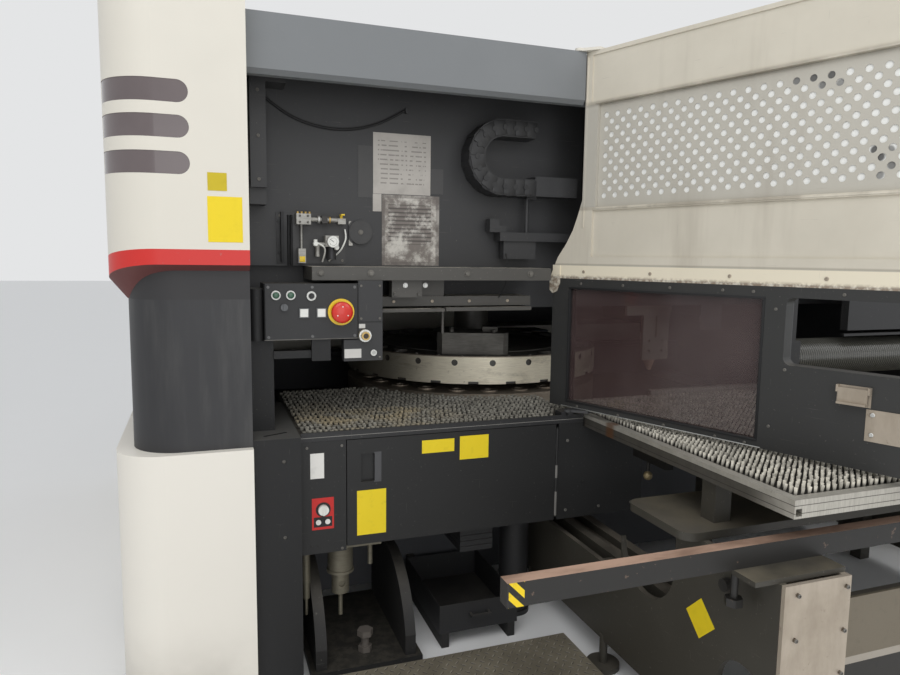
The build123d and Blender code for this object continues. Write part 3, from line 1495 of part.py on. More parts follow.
handle_t = 752.0
with BuildPart() as door_outer_skin:
    door_block((tail_low, door_reach), (door_back + seam, door_outer), (door_bottom, door_split - seam))
    door_block((door_start, door_reach), (door_back + seam, door_outer), (door_split - seam, roof_top))
    door_block(
        (window_left, window_right),
        (door_back, door_outer),
        (window_bottom, window_top),
        mode=Mode.SUBTRACT,
    )
    with BuildSketch(door_face(door_outer)):
        with Locations(((hatch_left + hatch_right) / 2, (hatch_bottom + hatch_top) / 2)):
            RectangleRounded(hatch_right - hatch_left, hatch_top - hatch_bottom, hatch_corner)
    extrude(amount=door_depth, mode=Mode.SUBTRACT)
    for arm_low in (roof_top + seam, door_bottom - seam - pivot_arm):
        with BuildSketch(door_line.offset(arm_low)) as arm_plan:
            Circle(pivot_boss)
            with BuildLine():
                Polyline(
                    (-pivot_boss, 0),
                    (door_start, door_outer),
                    (door_start + 60.0, door_outer),
                    (door_start + 60.0, door_inner),
                    (pivot_boss, 0),
                    close=True,
                )
            make_face()
            Circle(pivot_pin + running_fit, mode=Mode.SUBTRACT)
        extrude(amount=pivot_arm)
    for grip_z in (1060.0, 1360.0):
        door_block((handle_t, handle_t + 16.0), (door_outer, door_outer + 45.0), span(grip_z, 16.0))
    door_block((handle_t, handle_t + 16.0), (door_outer + 45.0, door_outer + 60.0), (1060.0, 1376.0))

latch_left = 951.0
latch_right = 1039.0
latch_z = 1148.0
latch_d = door_inner - 12.5
latch_pin_radius = 2.5


def latch_pin(t_span, radius, mode=Mode.ADD):
    """A round bar on the latch's pivot line, in the builder that is open."""
    start = door_line.from_local_coords((t_span[0], latch_d, latch_z))
    with BuildSketch(Plane(origin=start, z_dir=door_line.x_dir), mode=Mode.PRIVATE) as outline:
        Circle(radius)
    extrude(outline.sketch, amount=t_span[1] - t_span[0], mode=mode)


with BuildPart() as door_fittings:
    door_block((latch_left, latch_right), (door_inner - 4.0, door_inner), (1104.0, 1160.0))
    door_block((latch_left, latch_left + 6.0), (door_inner - 16.0, door_inner - 4.0), (1140.0, 1160.0))
    door_block((latch_right - 6.0, latch_right), (door_inner - 16.0, door_inner - 4.0), (1140.0, 1160.0))
    latch_pin((latch_left, latch_right), latch_pin_radius)
    door_block((1029.0, 1166.0), (door_inner - 3.0, door_inner), (1011.0, 1100.0))
    for hole_t, hole_z in ((1046.0, 1086.0), (1046.0, 1030.0), (1140.0, 1086.0), (1140.0, 1030.0)):
        with BuildSketch(door_face(door_inner)):
            with Locations((hole_t, hole_z)):
                Circle(4.0)
        extrude(amount=10.0, mode=Mode.SUBTRACT)

with BuildPart() as door_latch_paddle:
    door_block(
        (latch_left + 6.0 + slip, latch_right - 6.0 - slip),
        (door_inner - 16.0, door_inner - 9.0),
        (1108.0, 1154.0),
    )
    door_block(
        (latch_left + 6.0 + slip, latch_right - 6.0 - slip),
        (door_inner - 26.0, door_inner - 16.0),
        (1108.0, 1114.0),
    )
    latch_pin((latch_left, latch_right), latch_pin_radius + running_fit, mode=Mode.SUBTRACT)

pieces = {
    "base_frame": base_frame,
    "upper_frame": upper_frame,
    "column_base_cover": column_base_cover,
    "column_mid_cover": column_mid_cover,
    "column_top_cover": column_top_cover,
    "column_lamps": column_lamps,
    "outer_covers": outer_covers,
    "front_beam": front_beam,
    "right_front_cover": right_front_cover,
    "throat_wall": throat_wall,
    "throat_ledges": throat_ledges,
    "sheets_and_plates": sheets_and_plates,
    "cable_post": cable_post,
    "air_unit": air_unit,
    "air_valve_handle": air_valve_handle,
    "side_plinth": side_plinth,
    "control_box": control_box,
    "control_box_trim": control_box_trim,
    "emergency_stop_button": emergency_stop_button,
    "fitting_panel": fitting_panel,
    "turret_upper": turret_upper,
    "turret_tool_block": turret_tool_block,
    "turret_lower": turret_lower,
    "press_drives": press_drives,
    "striker": striker,
    "laser_carriage": laser_carriage,
    "laser_head": laser_head,
    "carriage_beam": carriage_beam,
    "cross_slide": cross_slide,
    "clamp_jaws": clamp_jaws,
    "rear_cabinets": rear_cabinets,
    "cable_chain": cable_chain,
    "sensor_arm": sensor_arm,
    "main_table": main_table,
    "main_brushes": main_brushes,
    "front_skirt": front_skirt,
    "skirt_door": skirt_door,
    "air_cylinders": air_cylinders,
    "foot_bracket": foot_bracket,
    "tread_plate": tread_plate,
    "scrap_box": scrap_box,
    "side_table": side_table,
    "side_brushes": side_brushes,
    "table_base": table_base,
    "front_post_plate": front_post_plate,
    "striped_bar": striped_bar,
    "extraction_hose": extraction_hose,
    "door_panel": door_panel,
    "door_lining": door_lining,
    "door_lower_frame": door_lower_frame,
    "door_window": door_window,
    "door_outer_skin": door_outer_skin,
    "door_fittings": door_fittings,
    "door_latch_paddle": door_latch_paddle,
    "wall_lead": wall_lead,
    "start_button": start_button,
    "hold_button": hold_button,
    "key_switch": key_switch,
    "selector_knob": selector_knob,
    "mode_knob": mode_knob,
}

os.makedirs("parts", exist_ok=True)
for label, piece in pieces.items():
    piece.part.label = label
    export_step(piece.part, f"parts/{label}.step")
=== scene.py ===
import itertools
import math
import random

import bmesh
import bpy
from bpy.props import FloatProperty, FloatVectorProperty, IntProperty, PointerProperty
from mathutils import Matrix, Vector


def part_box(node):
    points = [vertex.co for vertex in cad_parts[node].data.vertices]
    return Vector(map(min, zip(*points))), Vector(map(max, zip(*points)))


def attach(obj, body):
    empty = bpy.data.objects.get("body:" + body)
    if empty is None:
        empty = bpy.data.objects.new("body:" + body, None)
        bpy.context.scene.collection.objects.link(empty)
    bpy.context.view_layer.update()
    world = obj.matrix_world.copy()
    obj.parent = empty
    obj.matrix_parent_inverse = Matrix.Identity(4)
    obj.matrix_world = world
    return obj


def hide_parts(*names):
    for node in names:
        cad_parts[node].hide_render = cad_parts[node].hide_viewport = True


bl_info = {
    "name": "Sheet metal laser machine",
    "version": (1, 0, 0),
    "blender": (4, 5, 0),
    "location": "3D View > Sidebar > Laser machine",
    "description": "Finishes and small pieces for a laser cutting and punching machine",
    "category": "Add Mesh",
}

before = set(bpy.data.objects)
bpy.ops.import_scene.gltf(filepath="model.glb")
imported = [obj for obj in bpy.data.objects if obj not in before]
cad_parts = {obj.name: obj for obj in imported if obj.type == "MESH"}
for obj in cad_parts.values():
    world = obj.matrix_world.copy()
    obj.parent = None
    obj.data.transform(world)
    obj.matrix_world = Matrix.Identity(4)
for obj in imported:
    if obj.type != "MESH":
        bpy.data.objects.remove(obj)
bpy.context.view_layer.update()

# Levels, faces and middles of the machine, in metres
ROOF_TOP = 2.257
PLINTH_TOP = 0.88
COLUMN_TURN = (-1.95, -0.78)
COLUMN_RADIUS = 0.15
BAND_FOOT = 1.425
TABLE_FACE = -0.855
BOX_FACE = -0.803
TURRET = Vector((-0.48, 0.25))
TURRET_TOP = 1.065
GAUGE = (-1.377, 1.554)
HOSE_MIDDLE = (-0.75, 1.07)

# The front door's own directions: t runs along the leaf from the pivot, d from inside to outside
PIVOT = Vector((-0.5025, TABLE_FACE, 0.0))
OPEN_ANGLE = math.radians(111.1)
LEAF = Vector((-math.cos(OPEN_ANGLE), -math.sin(OPEN_ANGLE), 0.0))
OUT = Vector((-LEAF.y, LEAF.x, 0.0))
DOOR_INNER = 0.030
DOOR_PLACE = Matrix.Translation(PIVOT) @ Matrix(
    ((LEAF.x, OUT.x, 0, 0), (LEAF.y, OUT.y, 0, 0), (0, 0, 1, 0), (0, 0, 0, 1))
)

# The door's round holes, in staggered rows
HOLE_ROWS = 7
HOLE_COLUMNS = 22
FIRST_HOLE = 0.100
HOLE_PITCH = 0.048
HOLE_MIDDLE = 1.8805
SKIN_INNER = 0.043
SKIN_SPAN = (0.0725, 1.1455)
SKIN_HEIGHTS = (1.6955, 2.0655)

# Spots of painted shade on the sheet behind the holes, where the lining is missing: place along the leaf,
# height and strength
LINING_SPOTS = (
    (0.772, 2.025, 0.8), (0.820, 2.025, 0.9), (0.868, 2.024, 0.9), (0.846, 2.001, 0.8), (0.893, 1.998, 0.7),
    (0.993, 1.806, 0.9), (1.006, 1.786, 0.9), (1.029, 1.802, 0.7), (1.037, 1.762, 0.8), (1.007, 1.738, 0.7),
)

# The energy chain's bend and straight runs
CHAIN_MIDDLE = Vector((-0.721, 0.0, 1.888))
CHAIN_RADIUS = 0.1105
CHAIN_STRAIGHT = 0.135
CHAIN_FACE = -0.690

# Routes of the leads on the throat wall, the first in x and z on one plane
WALL_LEAD = tuple((x, -0.6055, z) for x, z in (
    (-1.603, 2.052), (-1.548, 2.012), (-1.490, 1.984), (-1.421, 1.966), (-1.352, 1.960), (-1.283, 1.966),
    (-1.214, 1.984), (-1.152, 2.012), (-1.096, 2.046),
))
SENSOR_LEAD = (
    (-0.690, -0.658, 1.520), (-0.694, -0.676, 1.500), (-0.700, -0.690, 1.470), (-0.704, -0.700, 1.430),
    (-0.712, -0.705, 1.395), (-0.724, -0.704, 1.370), (-0.738, -0.703, 1.350),
)
AIR_TUBES = (
    ((-1.325, -0.620, 1.600), (-1.322, -0.630, 1.575), (-1.328, -0.634, 1.552), (-1.345, -0.632, 1.520),
     (-1.368, -0.622, 1.500), (-1.384, -0.612, 1.484)),
    ((-1.430, -0.652, 1.548), (-1.412, -0.660, 1.540), (-1.402, -0.650, 1.525), (-1.404, -0.630, 1.500),
     (-1.408, -0.615, 1.482)),
)

# Colours as the 0 to 255 values that a screen shows
CREAM = (221, 216, 204)
# A lighter copy of the cream, used as painted light on the lower covers
LIT_CREAM = (243, 238, 228)
RED = (206, 44, 38)
RED_SHADOW = (98, 52, 50)
YELLOW = (238, 210, 24)
FLOOR_DIRT = (120, 112, 102)


def srgb(red, green, blue):
    """A colour given as the values that a screen shows, as Blender's linear values."""
    def linear(value):
        value /= 255
        return value / 12.92 if value <= 0.04045 else ((value + 0.055) / 1.055) ** 2.4
    return (linear(red), linear(green), linear(blue), 1.0)


def shade(colour, amount):
    """The same colour, darker or lighter, in linear values."""
    return tuple(channel * amount for channel in srgb(*colour)[:3]) + (1.0,)


def arithmetic(operation, swapped=False):
    """A method that joins a socket and a second value in a Math node."""
    def method(self, other):
        return self.shader.math(operation, *((other, self) if swapped else (self, other)))
    return method


class Socket:
    """An output of a shader node that takes part in ordinary arithmetic."""

    def __init__(self, shader, link):
        self.shader = shader
        self.link = link

    __add__ = __radd__ = arithmetic("ADD")
    __sub__ = arithmetic("SUBTRACT")
    __rsub__ = arithmetic("SUBTRACT", True)
    __mul__ = __rmul__ = arithmetic("MULTIPLY")
    __mod__ = arithmetic("FLOORED_MODULO")
    __gt__ = arithmetic("GREATER_THAN")
    __lt__ = arithmetic("LESS_THAN")

    def __abs__(self):
        return self.shader.math("ABSOLUTE", self)

    def clamped(self):
        return self.shader.math("MINIMUM", self.shader.math("MAXIMUM", self, 0.0), 1.0)

    def between(self, low, high):
        """1 where the value lies between two limits, 0 elsewhere."""
        return (self > low) * (self < high)

    def ramp(self, low, high):
        """Rises from 0 to 1 as the value goes from low to high."""
        settings = {"interpolation_type": "SMOOTHSTEP"}
        return self.shader.node("ShaderNodeMapRange", settings, {0: self, 1: low, 2: high, 3: 0.0, 4: 1.0})


class Shader:
    """One material in the making, with the tone that its layers build up."""

    def __init__(self, name):
        self.material = bpy.data.materials.new(name)
        self.material.use_nodes = True
        self.tree = self.material.node_tree
        self.tree.nodes.clear()
        self.place = self.node("ShaderNodeTexCoord", out="Object")
        self.x, self.y, self.z = (self.node("ShaderNodeSeparateXYZ", None, {0: self.place}, axis)
                                  for axis in range(3))
        self.tone = None

    def node(self, kind, settings=None, inputs=None, out=0):
        """Adds a node, sets it up, fills or links its sockets and gives back one output."""
        made = self.tree.nodes.new(kind)
        for key, value in (settings or {}).items():
            setattr(made, key, value)
        for key, value in (inputs or {}).items():
            if isinstance(value, Socket):
                self.tree.links.new(value.link, made.inputs[key])
            else:
                made.inputs[key].default_value = value
        return Socket(self, made.outputs[out])

    def noise(self, scale, detail=3.0, roughness=0.55, stretch=(1, 1, 1)):
        """Cloudy noise from 0 to 1, on the object's own coordinates."""
        place = self.node("ShaderNodeMapping", {"vector_type": "POINT"}, {0: self.place, 3: stretch})
        return self.node("ShaderNodeTexNoise", None,
                         {"Vector": place, "Scale": scale, "Detail": detail, "Roughness": roughness})

    def math(self, operation, *values):
        return self.node("ShaderNodeMath", {"operation": operation}, dict(enumerate(values)))

    def length(self, across, up):
        return self.math("SQRT", across * across + up * up)

    def facing_up(self):
        """1 on faces that look up, 0 on upright ones, -1 on faces that look down."""
        normal = self.node("ShaderNodeNewGeometry", out="Normal")
        return self.node("ShaderNodeSeparateXYZ", None, {0: normal}, 2)

    def top(self):
        return self.facing_up() > 0.8

    def inside(self, x=None, y=None, z=None):
        """1 inside a box that may be open along some axes, 0 outside it."""
        mask = 1.0
        for value, limits in ((self.x, x), (self.y, y), (self.z, z)):
            if limits:
                mask = value.between(*limits) * mask
        return mask

    def round_spot(self, x, z, radius):
        """1 inside a circle on a face that looks to the front."""
        across, up = self.x - x, self.z - z
        return (across * across + up * up) < radius * radius

    def mix(self, amount, first, second):
        """Goes from the first colour to the second as amount goes from 0 to 1."""
        first, second = (srgb(*colour) if isinstance(colour, tuple) and len(colour) == 3 else colour
                         for colour in (first, second))
        return self.node("ShaderNodeMix", {"data_type": "RGBA"}, {0: amount, 6: first, 7: second}, 2)

    def base(self, amount, first, second):
        """Starts the tone with a mix of two colours."""
        self.tone = self.mix(amount, first, second)

    def lay(self, amount, colour):
        """Lays a colour over the tone, where amount is 1."""
        self.tone = self.mix(amount, self.tone, colour)

    def patch(self, colour, **limits):
        """Lays a colour over the tone inside a box."""
        self.lay(self.inside(**limits), colour)

    def scratches(self, amount):
        """Thin crossing lines, 1 on a scratch."""
        along = self.noise(9.0, 2.0, 0.5, (1, 1, 30))
        across = self.noise(11.0, 2.0, 0.5, (25, 25, 1))
        level = 0.74 - 0.06 * amount
        return (along.ramp(level, level + 0.05) + across.ramp(level, level + 0.05)).clamped()

    def finish(self, roughness, metallic=0.0, bump=None, strength=0.15, distance=0.001, coat=0.0, alpha=1.0):
        """Ends the material in a Principled shader."""
        inputs = {"Base Color": self.tone, "Roughness": roughness, "Metallic": metallic, "Coat Weight": coat,
                  "Alpha": alpha}
        if bump is not None:
            inputs["Normal"] = self.node("ShaderNodeBump", None,
                                         {"Strength": strength, "Distance": distance, "Height": bump})
        surface = self.node("ShaderNodeBsdfPrincipled", None, inputs)
        output = self.tree.nodes.new("ShaderNodeOutputMaterial")
        self.tree.links.new(surface.link, output.inputs["Surface"])
        return self.material


def sprayed_paint(look, colour, wear):
    """Sprayed machine paint with faint cloudiness, handling marks and fine scratches."""
    cloud = look.noise(2.2, 4.0)
    speck = look.noise(60.0, 3.0, 0.6)
    look.base(cloud.ramp(0.35, 0.75) * 0.25, colour, shade(colour, 0.72))
    look.lay(look.scratches(wear) * wear, (0.35, 0.34, 0.33, 1.0))
    return look.finish(0.36 + 0.15 * cloud.ramp(0.3, 0.7) + 0.05 * speck, bump=speck, strength=0.08)


def streaked_grey(look):
    """Dark grey paint with dusty streaks that run down it."""
    cloud = look.noise(2.2, 4.0)
    streak = look.noise(16.0, 4.0, 0.62, (1, 1, 0.12))
    speck = look.noise(60.0, 3.0, 0.6)
    look.base(streak.ramp(0.42, 0.8) * 0.5, (46, 46, 48), (84, 83, 81))
    look.lay(cloud.ramp(0.4, 0.8) * 0.3, (40, 40, 42))
    return look.finish(0.4 + 0.15 * cloud, bump=speck, strength=0.08)


def cream_tone(look, cloud):
    return look.mix(cloud.ramp(0.4, 0.8) * 0.35, CREAM, shade(CREAM, 0.8))


def red_tone(look, cloud):
    return look.mix(cloud.ramp(0.4, 0.8) * 0.3, RED, shade(RED, 0.74))


def column_cream(look):
    """The left column's pale top, with the red band along its foot and the dark skirt under the slope."""
    cloud = look.noise(1.6, 4.0)
    speck = look.noise(80.0, 3.0, 0.6)
    inset = COLUMN_RADIUS - look.length(look.math("MAXIMUM", COLUMN_TURN[0] - look.x, 0.0),
                                        look.math("MAXIMUM", COLUMN_TURN[1] - look.y, 0.0))
    band_top = 1.517 - look.math("MINIMUM", 0.18 * (look.y + 0.93), 0.027)
    look.base(look.z < band_top, cream_tone(look, cloud), red_tone(look, cloud))
    under = (inset > 0.001) * (look.z < 1.4995)
    look.lay(under, (47, 46, 47))
    look.lay(look.facing_up() < -0.3, RED_SHADOW)
    chip = look.noise(38.0, 4.0, 0.7).ramp(0.66, 0.72) * look.z.between(1.44, 1.53)
    look.lay(chip * 0.5, (150, 120, 112))
    return look.finish(0.34 + 0.12 * cloud + 0.2 * under, bump=speck, strength=0.05)


def cover_bands(look):
    """The column's paint bands, carried round the outer covers, with soiled panel foot edges and painted
    light on the covers below the plinth.
    """
    cloud = look.noise(1.3, 4.0)
    speck = look.noise(80.0, 3.0, 0.6)
    band = look.z.between(BAND_FOOT, 1.490)
    look.base(band, cream_tone(look, cloud), red_tone(look, cloud))
    # Painted light: the covers below the plinth's top are lightened towards the lighter cream
    look.lay((look.z < PLINTH_TOP) * 0.6, LIT_CREAM)
    look.patch((56, 56, 58), z=(PLINTH_TOP, BAND_FOOT))
    look.lay((look.facing_up() < -0.3) * look.z.between(1.3, 1.45), RED_SHADOW)
    foot = (1.0 - look.z.ramp(0.0, 0.30)) * cloud.ramp(0.35, 0.7)
    look.lay(foot * 0.5, FLOOR_DIRT)
    return look.finish(0.38 + 0.12 * cloud, bump=speck, strength=0.05)


def base_cream(look):
    """Cream paint, lightened all over as painted light, with floor dirt that fades upwards."""
    cloud = look.noise(2.0, 5.0)
    speck = look.noise(80.0, 3.0, 0.6)
    look.base(0.6, cream_tone(look, cloud), LIT_CREAM)
    dirt = (1.0 - look.z.ramp(0.0, 0.35)) * cloud.ramp(0.3, 0.7)
    look.lay(dirt * 0.55, FLOOR_DIRT)
    return look.finish(0.36 + 0.15 * cloud, bump=speck, strength=0.05)


def dusty_paint(look, colour, dust, roughness, places=None):
    """Dark paint with pale dust on faces that look up, rubbed spots and scratches, and with some places,
    each a mask and a tone, finished differently."""
    cloud = look.noise(3.0, 5.0, 0.6)
    settled = look.facing_up().ramp(0.4, 0.95) * cloud.ramp(0.25, 0.7) * dust
    look.base(cloud.ramp(0.35, 0.8) * 0.3, colour, shade(colour, 1.8))
    look.lay(settled, (122, 116, 106))
    look.lay(look.scratches(dust) * dust * 0.8, (118, 114, 108))
    fleck = look.noise(120.0, 2.0, 0.5).ramp(0.70, 0.76)
    look.lay(fleck * dust * 0.8, (140, 136, 128))
    rough = roughness + 0.2 * cloud
    if places is None:
        return look.finish(rough, bump=look.noise(45.0, 4.0, 0.65), strength=0.1)
    scuff = look.noise(34.0, 4.0, 0.65)
    for mask, patch in places(look):
        look.lay(mask, look.mix(scuff.ramp(0.52, 0.78) * 0.35, patch, shade(patch, 0.62)))
    return look.finish(rough, bump=scuff, strength=0.08)


def skirt_places(look):
    """Plain yellow plates, the hinge's bright knuckles and the recess of the pull."""
    on_face = look.y < TABLE_FACE - 0.0004
    plates = (look.inside(x=(-1.333, -1.226), z=(0.518, 0.683))
              + look.inside(x=(-1.095, -0.969), z=(0.796, 0.846))
              + look.inside(x=(-0.949, -0.833), z=(0.761, 0.851)))
    knuckle = (-0.553, -0.5395)
    return (
        (plates.clamped() * on_face, YELLOW),
        (look.inside(x=(-1.2705, -1.244), y=(-0.856, -0.850), z=(0.709, 0.818)), (74, 74, 76)),
        (look.inside(x=knuckle, z=(0.50, 0.60)) * on_face, (112, 110, 106)),
        (look.inside(x=knuckle, z=(0.655, 0.705)) * on_face, (120, 118, 114)),
    )


def trim_places(look):
    """Lamps, bezels, frames and screws of the control box, told apart by place."""
    return (
        (look.inside(x=(-1.525, -1.420), z=(1.285, 1.332)), (70, 70, 72)),
        (((look.z > 1.388) + (look.z < 1.238)).clamped(), (92, 92, 92)),
        (look.round_spot(-1.595, 1.369, 0.0112), (44, 52, 48)),
        (look.round_spot(-1.546, 1.369, 0.0112), (52, 104, 70)),
        (look.round_spot(-1.375, 1.310, 0.0475), (240, 200, 26)),
    )


def fitting_places(look):
    """The brass coupling and the lock of the fitting panel."""
    proud = look.y < -0.7925
    return (
        (look.round_spot(-1.290, 1.225, 0.0226) * proud, (196, 180, 140)),
        (look.round_spot(-1.290, 1.225, 0.0092) * proud, (60, 52, 44)),
        (look.round_spot(-1.258, 1.163, 0.0096) * proud, (190, 190, 186)),
        (look.inside(z=(1.2705, 1.2745)), (24, 24, 24)),
    )


def base_places(look):
    """The table base's dusty tops and the brown-grey panel under its front edge."""
    panel = look.inside(x=(-0.245, 1.40), y=(-1.71, -1.69), z=(0.05, 0.60))
    dusty = look.top() * look.noise(4.0, 4.0).ramp(0.3, 0.7) * 0.8
    return (
        (panel, (118, 109, 93)),
        (panel * look.z.between(0.262, 0.286), (168, 160, 148)),
        (panel * (look.z < 0.262), (48, 46, 43)),
        (dusty * look.z.between(0.35, 0.41), (132, 124, 112)),
        (dusty * (look.z > 0.68), (118, 110, 92)),
    )


def plinth_places(look):
    """The dusty top of the plinth, above its dark face."""
    return ((look.top(), (84, 83, 80)),)


def table_places(look):
    """The main table's front lip, rubbed bright, and dust between its tufts."""
    between = look.top() * look.z.between(0.8835, 0.8845)
    lip = look.inside(y=(-0.8555, -0.8478), z=(0.8835, 0.8850))
    return ((between * 0.4, (70, 66, 58)), (lip, (150, 148, 142)))


def ledge_places(look):
    """Dust and a painted highlight on the ledge's top and along its rails."""
    grit_and_highlight = look.noise(18.0, 4.0, 0.7).ramp(0.3, 0.6)
    # Painted highlight with grit: the ledge's top faces are lightened
    return ((look.top() * grit_and_highlight, (196, 190, 176)),)


def bracket_places(look):
    """Dust and crumbs on the bracket's floor, and its big bolt."""
    floor = look.top() * (look.z < 0.031)
    crumbs = look.noise(26.0, 5.0, 0.75).ramp(0.4, 0.6)
    across, deep = look.x + 1.284, look.y + 0.767
    bolt = (look.length(across, deep) < 0.034) * (look.z > 0.0305)
    return ((floor, (42, 40, 36)), (floor * crumbs * 0.6, (72, 68, 60)), (bolt, (96, 90, 84)))


def worn_door_beige(look):
    """The door's inner paint: greyer round its holes, with painted shadow lines under its top panel and above
    its lower panel, a dark line above its lip, and bare at its foot.
    """
    cloud = look.noise(2.4, 5.0, 0.62)
    streak = look.noise(7.0, 4.0, 0.6, (1.2, 1.2, 0.12))
    fine = look.noise(70.0, 3.0, 0.6)
    z = look.z

    def line(level, width):
        return 1.0 - abs(z - level).ramp(0.0, width)

    look.base(cloud.ramp(0.3, 0.8) * 0.45, (217, 210, 194), (190, 183, 167))
    look.lay(z.between(1.695, 2.066) * 0.55, (172, 170, 163))
    look.lay(streak.ramp(0.54, 0.8) * 0.26, (136, 124, 106))
    look.lay(line(1.482, 0.006) * 0.45, (120, 112, 98))
    look.lay(z.between(1.436, 1.478) * 0.85, (240, 230, 206))
    look.lay((1.0 - z.ramp(1.430, 1.446)) * fine.ramp(0.35, 0.6) * 0.75, (112, 88, 66))
    # Painted shadow under the proud top panel, broken up by cloud
    look.lay(line(2.068, 0.016) * cloud.ramp(0.3, 0.6) * 0.5, (98, 88, 72))
    # Painted shadow line along the perforated panel's lower edge
    look.lay(line(1.690, 0.012) * streak.ramp(0.4, 0.6) * 0.4, (110, 98, 80))
    look.lay(look.scratches(0.3) * 0.22, (126, 118, 106))
    return look.finish(0.42 + 0.2 * cloud, bump=fine, strength=0.08)


def outer_skin(look):
    """The door's outer paint, cream above and dark below, with a dark lower pivot arm."""
    cloud = look.noise(2.0, 4.0)
    speck = look.noise(70.0, 3.0, 0.6)
    look.base(look.z < 1.427, cream_tone(look, cloud), (54, 54, 55))
    look.lay(look.scratches(0.2) * 0.15, (126, 122, 116))
    return look.finish(0.38 + 0.14 * cloud, bump=speck, strength=0.06)


def spotted_lining(look):
    """The pale sheet behind the door's holes, with dark specks of painted shade where the lining is missing.
    """
    cloud = look.noise(3.0, 4.0)
    along = (look.x - PIVOT.x) * LEAF.x + (look.y - PIVOT.y) * LEAF.y
    look.base(cloud.ramp(0.4, 0.8) * 0.25, (240, 240, 236), (206, 206, 202))
    for t, z, strength in LINING_SPOTS:
        across, up = along - t, look.z - z
        near = 1.0 - (across * across + up * up).ramp(0.00006, 0.00022)
        # Painted shade: a dark speck at each listed spot
        look.lay(near * strength, (52, 50, 48))
    return look.finish(0.5 + 0.1 * cloud, bump=cloud, strength=0.04)


def brushed(look, colour, dark, roughness, grain, stain):
    """Lays brushed metal's tone and gives back its roughness, grain lines and spots."""
    lines = look.noise(22.0, 4.0, 0.6, grain)
    cloud = look.noise(3.2, 5.0, 0.62)
    spots = look.noise(34.0, 4.0, 0.7)
    look.base(lines.ramp(0.3, 0.7) * 0.35, colour, dark)
    look.lay(cloud.ramp(0.42, 0.78) * stain, dark)
    look.lay(spots.ramp(0.62, 0.75) * stain, (86, 66, 50))
    return roughness + 0.25 * cloud.ramp(0.35, 0.7) + 0.08 * lines, lines, spots


def brushed_metal(look, colour, dark, roughness, grain, stain, metallic=0.7):
    """Machined or brushed metal with a grain, oil stains and darker spots."""
    rough, lines, spots = brushed(look, colour, dark, roughness, (1, 1, grain), stain)
    bare = metallic - 0.5 * metallic * spots.ramp(0.62, 0.8)
    return look.finish(rough, metallic=bare, bump=lines, strength=0.12)


def turret_rim(look):
    """Bright steel round the turret's rim, dark oiled steel on its top and in its holes, with painted shade
    towards the rim's left end.
    """
    rough, lines, _ = brushed(look, (246, 238, 216), (190, 178, 154), 0.34, (1, 1, 26), 0.45)
    away = look.length(look.x - TURRET.x, look.y - TURRET.y)
    off_rim = ((away < 0.6485) + (abs(look.facing_up()) > 0.7)).clamped()
    look.lay(off_rim, look.mix(lines, (66, 64, 61), (98, 95, 89)))
    stain = look.noise(6.0, 5.0, 0.7, (1, 1, 3)).ramp(0.5, 0.72)
    look.lay(stain * 0.4 * (1.0 - off_rim), (104, 88, 66))
    # Painted shade: the rim darkens towards its left end, as if lit from the right
    look.lay((1.0 - look.x.ramp(-1.06, -0.84)) * 0.7, (60, 54, 46))
    return look.finish(rough, metallic=0.4 - 0.25 * off_rim, bump=lines, strength=0.12)


def table_aluminium(look):
    """Extruded aluminium with grooves along its sides, painted shade on its left side and underneath, and
    dark between its tufts.
    """
    rough, lines, _ = brushed(look, (196, 192, 182), (134, 129, 119), 0.36, (14, 1, 1), 0.4)
    x, y, z = look.x, look.y, look.z
    side = abs(look.facing_up()) < 0.5
    groove = (abs(z - 0.8845) < 0.0012) + (abs(z - 0.8635) < 0.0012)
    look.lay(groove.clamped() * side * 0.75, (62, 58, 54))
    # Painted shade on the table's left side face, growing from the front corner towards the back
    look.lay((x < -0.4235) * (z < 0.8845) * y.ramp(-1.90, -1.70) * 0.85, (56, 52, 47))
    stain = 1.0 - ((x + 0.415) * (x + 0.415) + (y + 1.03) * (y + 1.03)).ramp(0.0001, 0.0012)
    look.lay(stain * 0.7, (120, 78, 44))
    look.lay(look.inside(x=(-0.3945, 1.451), y=(-1.856, -0.619)) * (z < 0.8805), (40, 38, 36))
    # Painted shade on faces that look down
    look.lay(look.facing_up() < -0.5, (50, 49, 48))
    look.lay(z < 0.762, (132, 118, 88))
    return look.finish(rough, metallic=0.55, bump=lines, strength=0.12)


def wall_air_parts(look):
    """Charcoal plate and flap, nickel block, white filter bowls and black tubes, told apart by place."""
    rough, _, _ = brushed(look, (176, 174, 168), (112, 110, 104), 0.34, (1, 1, 6), 0.3)
    grain = look.noise(24.0, 4.0)
    plate = ((look.y > -0.6045) + look.round_spot(-1.264, 1.592, 0.052)).clamped()
    look.lay(plate, look.mix(grain, (44, 44, 45), (62, 61, 60)))
    look.patch((30, 30, 31), x=(-1.570, -1.511))
    look.patch((58, 58, 60), x=(-1.396, -1.358), z=(1.48, 1.5365))
    look.patch((66, 64, 62), x=(-1.413, -1.391), z=(1.618, 1.648))
    return look.finish(rough, metallic=0.45 * (1.0 - plate), bump=grain, strength=0.1)


def moulded_plastic(look, colour, roughness=0.45, coat=0.0):
    """Moulded plastic with a fine grain and slight colour variation."""
    cloud = look.noise(6.0, 3.0)
    grain = look.noise(220.0, 2.0, 0.6)
    look.base(cloud.ramp(0.35, 0.75) * 0.4, colour, shade(colour, 0.8))
    look.lay(look.facing_up().ramp(0.4, 1.0) * cloud.ramp(0.3, 0.6) * 0.15, (128, 122, 114))
    return look.finish(roughness + 0.1 * cloud, bump=grain, strength=0.06, coat=coat)


def smoked_strip(look):
    """Smoked translucent plastic in front of dark lamps."""
    cloud = look.noise(5.0, 3.0)
    look.base(cloud, (88, 78, 79), (108, 97, 97))
    return look.finish(0.16 + 0.1 * cloud, coat=0.4)


